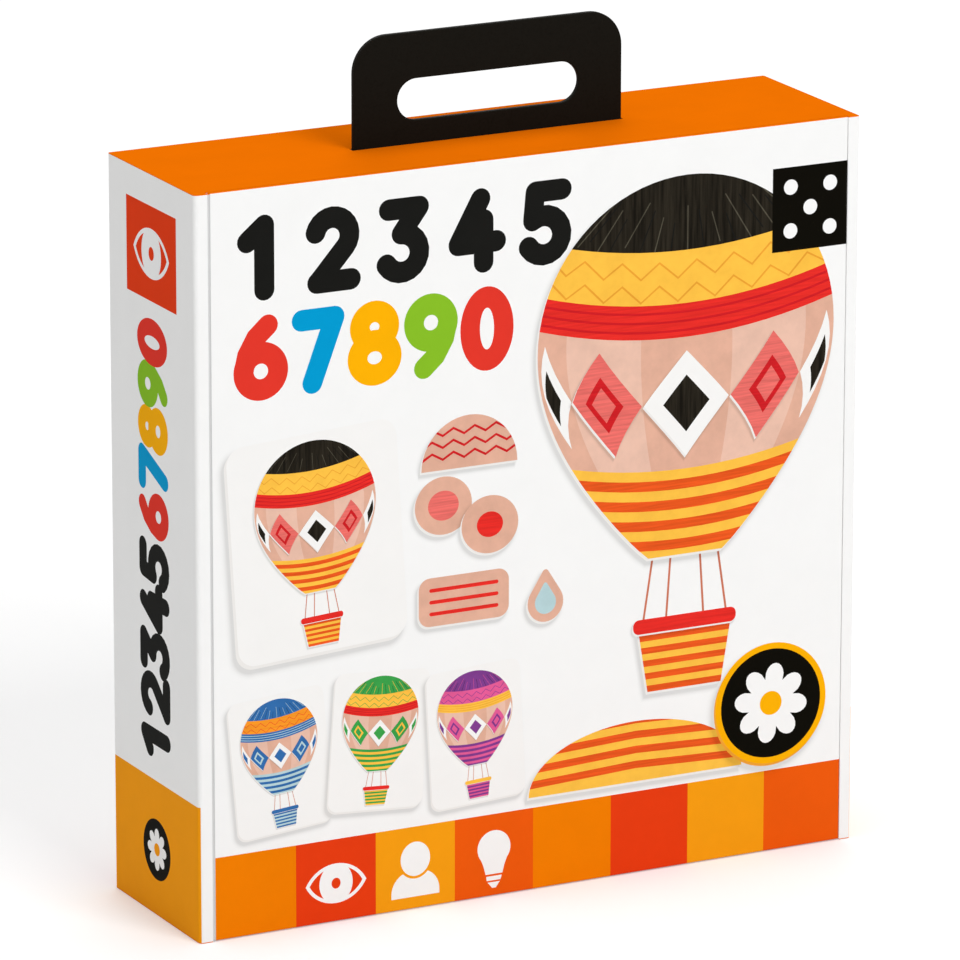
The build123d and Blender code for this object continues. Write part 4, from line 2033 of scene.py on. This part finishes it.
@dataclass
class Contents:
    """Picture cards and die-cut pieces in their wells."""

    card_corner: float = 6.0
    card_thickness: float = 1.2
    card_figure: float = 0.0049
    figure_middle: float = 45.0
    disc_print: float = 0.66
    disc_flower: float = 0.44
    bar_corner: float = 5.0
    bar_rows: int = 3
    bar_air: float = 0.05
    bar_margin: float = 3.0
    rib_levels: Values = (4.2, 9.4, 14.6, 19.8)
    wave_levels: Values = (4.6, 10.2, 15.8)
    wave_rise: float = 3.8
    wave_count: int = 12
    pen: float = 1.1
    diamond_half: Pair = (5.0, 7.0)
    diamond_core: float = 0.48
    diamond_count: int = 5
    drop_radius: float = 11.0
    drop_height: float = 30.0
    drop_tip: float = 2.0
    drop_share: float = 0.6
    gleam_place: Point = (-2.0, 9.0)
    gleam_half: Pair = (1.3, 2.0)
    dome_belt: float = 11.0
    dome_waves: Values = (1.6, 6.2)
    dome_wave_rise: float = 3.2
    dome_wave_count: int = 15
    dome_streak: Pair = (3.0, 4.0)
    dome_streak_turn: int = 20
    base_corner: float = 4.0
    base_taper: float = 6.0
    base_stripe: float = 4.5
    base_stripes: int = 4
    base_rim: float = 6.5
    base_ribs: Values = (2.0, 4.4)
    round_panels: tuple[Pair, ...] = ((-0.62, -0.2), (0.2, 0.62))

    def __post_init__(self) -> None:
        """Build the tree that all stacks share."""
        self.tree = StackTree()

    @staticmethod
    def place(node: str) -> tuple[float, float, float, float]:
        """Left, low, right and high side of a stack, in millimetres."""
        low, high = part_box(node)
        return low[0] / MM, low[2] / MM, high[0] / MM, high[2] / MM

    def cards(self) -> PieceStack:
        """Lay out the picture cards.

        Returns:
            Their stack.
        """
        left, low, right, high = self.place("picture_cards")
        scale = (high - low) * self.card_figure
        mouth = (low + high) / 2 - self.figure_middle * scale
        art = Drawing()
        art.merge(Balloon().draw(), (left + right) / 2, mouth, 0.0, scale)
        card = Draw.box(left, low, right, high, self.card_corner)
        return PieceStack(
            "picture_cards", [card], [Ink.CARD], art,
            seed=3, slot="card_print", thickness=self.card_thickness,
        )

    def discs(self) -> PieceStack:
        """Lay out the round pieces in two stacks.

        Returns:
            Their stack.
        """
        left, low, right, high = self.place("disc_pieces")
        radius = (high - low) / 2
        level = low + radius
        art = Drawing()
        outlines: list[Outline] = []
        for x, ink in ((left + radius, Ink.ROSE), (right - radius, Ink.SKY)):
            outlines.append(Draw.ellipse(x, level, radius, radius, steps=56))
            art.add(Draw.ellipse(x, level, radius * self.disc_print, radius * self.disc_print), ink)
            art.merge(Patterns.flower(x, level, radius * self.disc_flower, Ink.CARD, ink), 0, 0)
        return PieceStack("disc_pieces", outlines, [Ink.PEACH, Ink.PALE_BLUE], art, seed=5)

    def bars(self) -> PieceStack:
        """Lay out the belt pieces in three rows: ribbed, waved and with a chain of diamonds.

        Returns:
            Their stack.
        """
        left, low, right, high = self.place("bar_pieces")
        pitch = (high - low + self.bar_air) / self.bar_rows
        outlines = [
            Draw.box(left, low + row * pitch, right, low + (row + 1) * pitch - self.bar_air, self.bar_corner)
            for row in range(self.bar_rows)
        ]
        art = Drawing()
        start, end = left + self.bar_margin, right - self.bar_margin
        for level in self.rib_levels:
            art.add(Draw.stroke([(start, low + level), (end, low + level)], self.pen), Ink.CRIMSON)
        for level in self.wave_levels:
            line = Patterns.zigzag(start, end, low + pitch + level, self.wave_rise, self.wave_count)
            art.add(Draw.stroke(line, self.pen), Ink.OCHRE)
        wide, tall = self.diamond_half
        y = low + (self.bar_rows - 0.5) * pitch
        for i in range(self.diamond_count):
            x = (left + right) / 2 + (2 * i + 1 - self.diamond_count) * wide
            for share, inks in ((1.0, (Ink.ROSE, Ink.CARD)), (self.diamond_core, (Ink.CRIMSON, Ink.SOOT))):
                corners = ((wide, 0.0), (0.0, tall), (-wide, 0.0), (0.0, -tall))
                art.add([(x + dx * share, y + dy * share) for dx, dy in corners], inks[i % 2])
        inks = [Ink.SCARLET, Ink.STRAW, Ink.PEACH]
        return PieceStack("bar_pieces", outlines, inks, art, seed=7)

    def drops(self) -> PieceStack:
        """Lay out the drop pieces.

        Returns:
            Their stack.
        """
        left, low, right, _ = self.place("drop_pieces")
        middle = (left + right) / 2
        outline = Draw.drop(middle, low, self.drop_radius, self.drop_height, self.drop_tip)
        art = Drawing()
        share = self.drop_share
        foot = low + self.drop_radius * (1 - share)
        sizes = (size * share for size in (self.drop_radius, self.drop_height, self.drop_tip))
        art.add(Draw.drop(middle, foot, *sizes), Ink.SKY)
        aside, up = self.gleam_place
        art.add(Draw.ellipse(middle + aside, low + up, *self.gleam_half), Ink.PALE_BLUE)
        return PieceStack("drop_pieces", [outline], [Ink.PALE_BLUE], art, seed=9)

    def domes(self) -> PieceStack:
        """Lay out the half-round crown pieces.

        Returns:
            Their stack.
        """
        left, low, right, _ = self.place("dome_pieces")
        middle = (left + right) / 2
        radius = (right - left) / 2
        belt = low + self.dome_belt
        art = Drawing()
        art.add(Draw.box(left, low, right, belt), Ink.STRAW)
        for level in self.dome_waves:
            line = Patterns.zigzag(left, right, low + level, self.dome_wave_rise, self.dome_wave_count)
            art.add(Draw.stroke(line, self.pen), Ink.OCHRE)
        inner, outer = self.dome_belt + self.dome_streak[0], radius - self.dome_streak[1]
        for turn in range(self.dome_streak_turn, 180, self.dome_streak_turn):
            c, s = math.cos(math.radians(turn)), math.sin(math.radians(turn))
            line = [(middle + c * reach, belt + s * (reach - self.dome_belt)) for reach in (inner, outer)]
            art.add(Draw.stroke(line, self.pen / 2), Ink.SOOT_LINE)
        outline = Draw.arc(middle, low, radius, 0, 180, steps=40)
        return PieceStack("dome_pieces", [outline], [Ink.SOOT], art, seed=11)

    def bases(self) -> PieceStack:
        """Lay out the basket pieces.

        Returns:
            Their stack.
        """
        left, low, right, high = self.place("base_pieces")
        corners = [(left + self.base_taper, low), (right - self.base_taper, low), (right, high), (left, high)]
        outline = Draw.rounded(corners, self.base_corner)
        art = Drawing()
        for i in range(self.base_stripes):
            level = low + 2 * i * self.base_stripe
            art.add(Draw.box(left, level, right, level + self.base_stripe), Ink.PAPRIKA)
        art.add(Draw.box(left, high - self.base_rim, right, high), Ink.SCARLET)
        for level in self.base_ribs:
            art.add(Draw.stroke([(left, high - level), (right, high - level)], self.pen / 2), Ink.CRIMSON)
        return PieceStack("base_pieces", [outline], [Ink.STRAW], art, seed=13)

    def rounds(self) -> PieceStack:
        """Lay out the large boards that a picture is built on, with two pale gores.

        Returns:
            Their stack.
        """
        left, low, right, high = self.place("round_boards")
        middle, centre = (left + right) / 2, (low + high) / 2
        wide, tall = (right - left) / 2, (high - low) / 2
        half = Draw.arc(0, 0, 1.0, -90, 90, steps=24)

        def seam(side: float) -> Outline:
            """Seam from the foot to the top, as a half ellipse; side tells how far it swings out."""
            return [(middle + side * wide * x, centre + tall * y) for x, y in half]

        art = Drawing()
        for near, far in self.round_panels:
            art.add(seam(far) + seam(near)[::-1], Ink.PALE_PEACH)
        outline = Draw.ellipse(middle, centre, wide, tall, steps=96)
        return PieceStack("round_boards", [outline], [Ink.PEACH], art, seed=15)

    def build(self) -> None:
        """Make every stack."""
        makers = (self.cards, self.discs, self.bars, self.drops, self.domes, self.bases, self.rounds)
        for make in makers:
            make().build(self.tree)


@dataclass
class RulesLeaflet:
    """Rules sheet, folded once, with numbered pictures instead of words."""

    paper: float = 0.15
    bend_steps: int = 8
    heading: float = 20.0
    numeral_height: float = 12.0
    numeral_pitch: float = 11.0
    frame_size: Pair = (42.0, 48.0)
    frame_pitch: Pair = (47.0, 52.0)
    frame_start: Point = (8.0, 28.0)
    frame_corner: float = 3.0
    frame_line: float = 0.8
    mark_place: Point = (7.0, 41.0)
    mark_radius: float = 4.6
    mark_numeral: float = 5.52
    figure_place: Point = (24.0, 13.5)
    figure_scale: float = 0.2
    figure_lift: float = 0.5
    figure_shadow: float = 0.6

    def __post_init__(self) -> None:
        """Take the leaflet's place from the frame, in millimetres."""
        low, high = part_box("rules_leaflet")
        self.left, self.front, self.low = (v / MM for v in low)
        self.right, self.back, self.high = (v / MM for v in high)
        self.radius = (self.back - self.front) / 2
        self.page = self.right - self.left - self.radius
        self.bend = math.pi * self.radius
        self.art = Drawing()

    def fold(self, u: float, v: float) -> Vector:
        """Place of a point of the flat sheet.

        Args:
            u: Distance over the front page from its fold, negative on the back page.
            v: Height above the floor.

        Returns:
            The place, in millimetres.
        """
        crease = self.left + self.radius
        if u >= 0:
            return Vector((crease + u, self.front, v))
        if u >= -self.bend:
            turn = -u / self.radius
            depth = self.front + self.radius * (1 - math.cos(turn))
            return Vector((crease - self.radius * math.sin(turn), depth, v))
        return Vector((crease - u - self.bend, self.back, v))

    def draw_step(self, number: int, colours: BalloonColours, ink: PrintInk) -> None:
        """Draw one numbered step.

        Args:
            number: Number of the step, from 1.
            colours: Colours of its balloon.
            ink: Colour of its frame.
        """
        art = self.art
        wide, tall = self.frame_size
        row, column = divmod(number - 1, 2)
        u = self.frame_start[0] + column * self.frame_pitch[0]
        v = self.high - self.frame_start[1] - tall - row * self.frame_pitch[1]
        line = self.frame_line
        art.add(Draw.box(u, v, u + wide, v + tall, self.frame_corner), ink)
        inner = Draw.box(u + line, v + line, u + wide - line, v + tall - line, self.frame_corner - line)
        art.add(inner, Ink.CARD)
        mark_u, mark_v = u + self.mark_place[0], v + self.mark_place[1]
        radius = self.mark_radius
        art.add(Draw.ellipse(mark_u, mark_v, radius, radius, steps=32), ink)
        height = self.mark_numeral
        numeral = Numerals.draw(str(number), height, Ink.WHITE, ink)
        art.merge(numeral, mark_u - Numerals.WIDTH * height / 2, mark_v - height / 2)
        figure = Balloon(colours, lift=self.figure_lift, shadow=self.figure_shadow).draw()
        art.merge(figure, u + self.figure_place[0], v + self.figure_place[1], 0.0, self.figure_scale)

    def draw_page(self) -> None:
        """Coloured heading and four numbered steps."""
        heading = Draw.box(-self.radius, self.high - self.heading, self.page, self.high)
        self.art.add(heading, Ink.ORANGE)
        row = Numerals.row("123", self.numeral_height, self.numeral_pitch, (Ink.WHITE,), Ink.ORANGE)
        start = (self.page - 2 * self.numeral_pitch - Numerals.WIDTH * self.numeral_height) / 2
        self.art.merge(row, start, self.high - (self.heading + self.numeral_height) / 2)
        inks = (Ink.VERMILION, Ink.AMBER, Ink.DEEP_ORANGE, Ink.ORANGE)
        for i, (ink, colours) in enumerate(zip(inks, (BalloonColours(), *GAME_VARIANTS))):
            self.draw_step(i + 1, colours, ink)

    def build(self) -> None:
        """Make the leaflet."""
        self.draw_page()
        ground = Region(Draw.box(-self.bend - self.page, self.low, self.page, self.high), Ink.WHITE)
        cuts: list[Outline] = []
        for i in range(self.bend_steps + 1):
            u = -self.bend * i / self.bend_steps
            cuts.append([(u, self.low - CUT_REACH), (u, self.high + CUT_REACH)])
        sheet = SheetMesh([ground], self.art, cuts)
        leaflet = sheet.build("rules_leaflet_paper", self.fold, self.paper)
        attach(leaflet, "tray")
        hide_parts("rules_leaflet")
        LOG.info("rules_leaflet_paper: %d faces", len(leaflet.data.polygons))


class FinishedNodes:
    """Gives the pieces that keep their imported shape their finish."""

    FINISHES: dict[PrintInk | Plain, tuple[str, ...]] = {
        Ink.TOP_ORANGE: ("top_wrap", "bottom_wrap"),
        LINING_PAPER: (
            "spine_board", "right_board", "back_board", "top_board", "bottom_board",
            "hinge_lip", "closure_strip", "closure_lip", "cover_lining",
        ),
        GREY_BOARD: ("cover_board",),
        INSERT_CARD: (
            "insert_shelf", "insert_floor", "insert_sides", "insert_deck", "insert_ribs",
            "upright_divider", "left_dividers", "right_divider", "split_divider",
        ),
        NICKEL: ("tray_magnets", "cover_magnets"),
        HANDLE_SHEET: ("handle_plate",),
    }

    def build(self) -> None:
        """Assign the finishes."""
        for finish, nodes in self.FINISHES.items():
            for node in nodes:
                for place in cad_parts[node].material_slots:
                    place.material = finish.material()
                LOG.info("%s: %s", node, finish.name)


@dataclass(frozen=True)
class Lamp:
    """Square soft light that points at the box; places and sizes in metres, power in watts."""

    name: str
    place: Triple
    size: float
    power: float

    def build(self, target: Vector) -> None:
        """Add the lamp.

        Args:
            target: Point that it shines at.
        """
        data = bpy.data.lights.new(self.name, "AREA")
        data.size = self.size
        data.energy = self.power
        thing = bpy.data.objects.new(self.name, data)
        bpy.context.scene.collection.objects.link(thing)
        turn = (target - Vector(self.place)).to_track_quat("-Z", "Y").to_matrix().to_4x4()
        thing.matrix_world = Matrix.Translation(self.place) @ turn


@dataclass
class Studio:
    """Floor, light and camera."""

    lens: float = 313.33
    sensor: float = 36.0
    far_end: float = 20.0
    camera_place: Triple = (-1.21208, -2.35564, 0.88749)
    camera_ahead: Triple = (0.43930713, 0.85552773, -0.27401013)
    camera_up: Triple = (0.12398483, 0.24435823, 0.96172596)
    floor_half: float = 6.0
    floor_gap: float = 0.0001
    floor_tone: float = 0.86
    floor_roughness: float = 0.95
    floor_lift: float = 0.24
    world_light: float = 0.45
    world_shown: float = 1.0
    target: Triple = (0.0, 0.0, 0.13)
    lamps: tuple[Lamp, ...] = (
        Lamp("key_light", (0.55, -2.6, 2.3), 1.6, 55.0),
        Lamp("top_light", (0.3, 0.2, 3.2), 2.0, 19.0),
        Lamp("side_light", (-2.6, -0.4, 1.4), 1.8, 6.6),
        Lamp("back_light", (1.2, 2.6, 2.0), 2.0, 20.0),
    )

    def build(self) -> None:
        """Set up everything round the object."""
        self.camera()
        self.floor()
        self.world()
        for lamp in self.lamps:
            lamp.build(Vector(self.target))
        bpy.context.scene.view_settings.view_transform = "Standard"

    def camera(self) -> None:
        """Camera at the photograph's viewing angle."""
        data = bpy.data.cameras.new("studio_camera")
        data.lens = self.lens
        data.sensor_width = self.sensor
        data.clip_end = self.far_end
        camera = bpy.data.objects.new("studio_camera", data)
        bpy.context.scene.collection.objects.link(camera)
        ahead = Vector(self.camera_ahead).normalized()
        up = Vector(self.camera_up).normalized()
        turn = Matrix((ahead.cross(up), up, -ahead)).transposed()
        camera.matrix_world = Matrix.Translation(self.camera_place) @ turn.to_4x4()
        bpy.context.scene.camera = camera

    def floor(self) -> None:
        """Plain pale floor, a hair below the box, that looks white to the camera and keeps the shadow."""
        half, level = self.floor_half, -self.floor_gap
        corners = [(-half, -half, level), (half, -half, level), (half, half, level), (-half, half, level)]
        mesh = bpy.data.meshes.new("studio_floor")
        mesh.from_pydata(corners, [], [(0, 1, 2, 3)])
        floor = bpy.data.objects.new("studio_floor", mesh)
        bpy.context.scene.collection.objects.link(floor)
        sheet = NodeSheet("pale_floor")
        sheet.shader.inputs["Base Color"].default_value = (self.floor_tone,) * 3 + (1.0,)
        sheet.shader.inputs["Roughness"].default_value = self.floor_roughness
        sheet.shader.inputs["Specular IOR Level"].default_value = 0.0
        sheet.shader.inputs["Emission Color"].default_value = (1.0, 1.0, 1.0, 1.0)
        path = sheet.add("ShaderNodeLightPath")
        shown = sheet.add("ShaderNodeMath", operation="MAXIMUM")
        sheet.join(path.outputs["Is Camera Ray"], shown.inputs[0])
        sheet.join(path.outputs["Is Glossy Ray"], shown.inputs[1])
        lift = sheet.add("ShaderNodeMath", operation="MULTIPLY")
        lift.inputs[1].default_value = self.floor_lift
        sheet.join(shown.outputs[0], lift.inputs[0])
        sheet.join(lift.outputs[0], sheet.shader.inputs["Emission Strength"])
        mesh.materials.append(sheet.material)

    def world(self) -> None:
        """White background for the camera and in reflections, softer light elsewhere."""
        world = bpy.data.worlds.new("studio_world")
        world.use_nodes = True
        tree = world.node_tree
        shown = tree.nodes["Background"]
        shown.inputs["Color"].default_value = (1.0, 1.0, 1.0, 1.0)
        shown.inputs["Strength"].default_value = self.world_shown
        light = tree.nodes.new("ShaderNodeBackground")
        light.inputs["Color"].default_value = (1.0, 1.0, 1.0, 1.0)
        light.inputs["Strength"].default_value = self.world_light
        path = tree.nodes.new("ShaderNodeLightPath")
        seen = path.outputs["Is Camera Ray"]
        for ray in ("Is Glossy Ray", "Is Transmission Ray"):
            either = tree.nodes.new("ShaderNodeMath")
            either.operation = "MAXIMUM"
            tree.links.new(seen, either.inputs[0])
            tree.links.new(path.outputs[ray], either.inputs[1])
            seen = either.outputs[0]
        mix = tree.nodes.new("ShaderNodeMixShader")
        tree.links.new(seen, mix.inputs[0])
        tree.links.new(light.outputs[0], mix.inputs[1])
        tree.links.new(shown.outputs[0], mix.inputs[2])
        tree.links.new(mix.outputs[0], tree.nodes["World Output"].inputs["Surface"])
        bpy.context.scene.world = world


def main() -> None:
    """Build the box in order and report each piece."""
    logging.basicConfig(level=logging.INFO, format="%(name)s %(message)s")
    Studio().build()
    FinishedNodes().build()
    FrontCover().build()
    HingePaper().build()
    TrayWrap().build()
    Contents().build()
    RulesLeaflet().build()


if __name__ == "__main__":
    main()
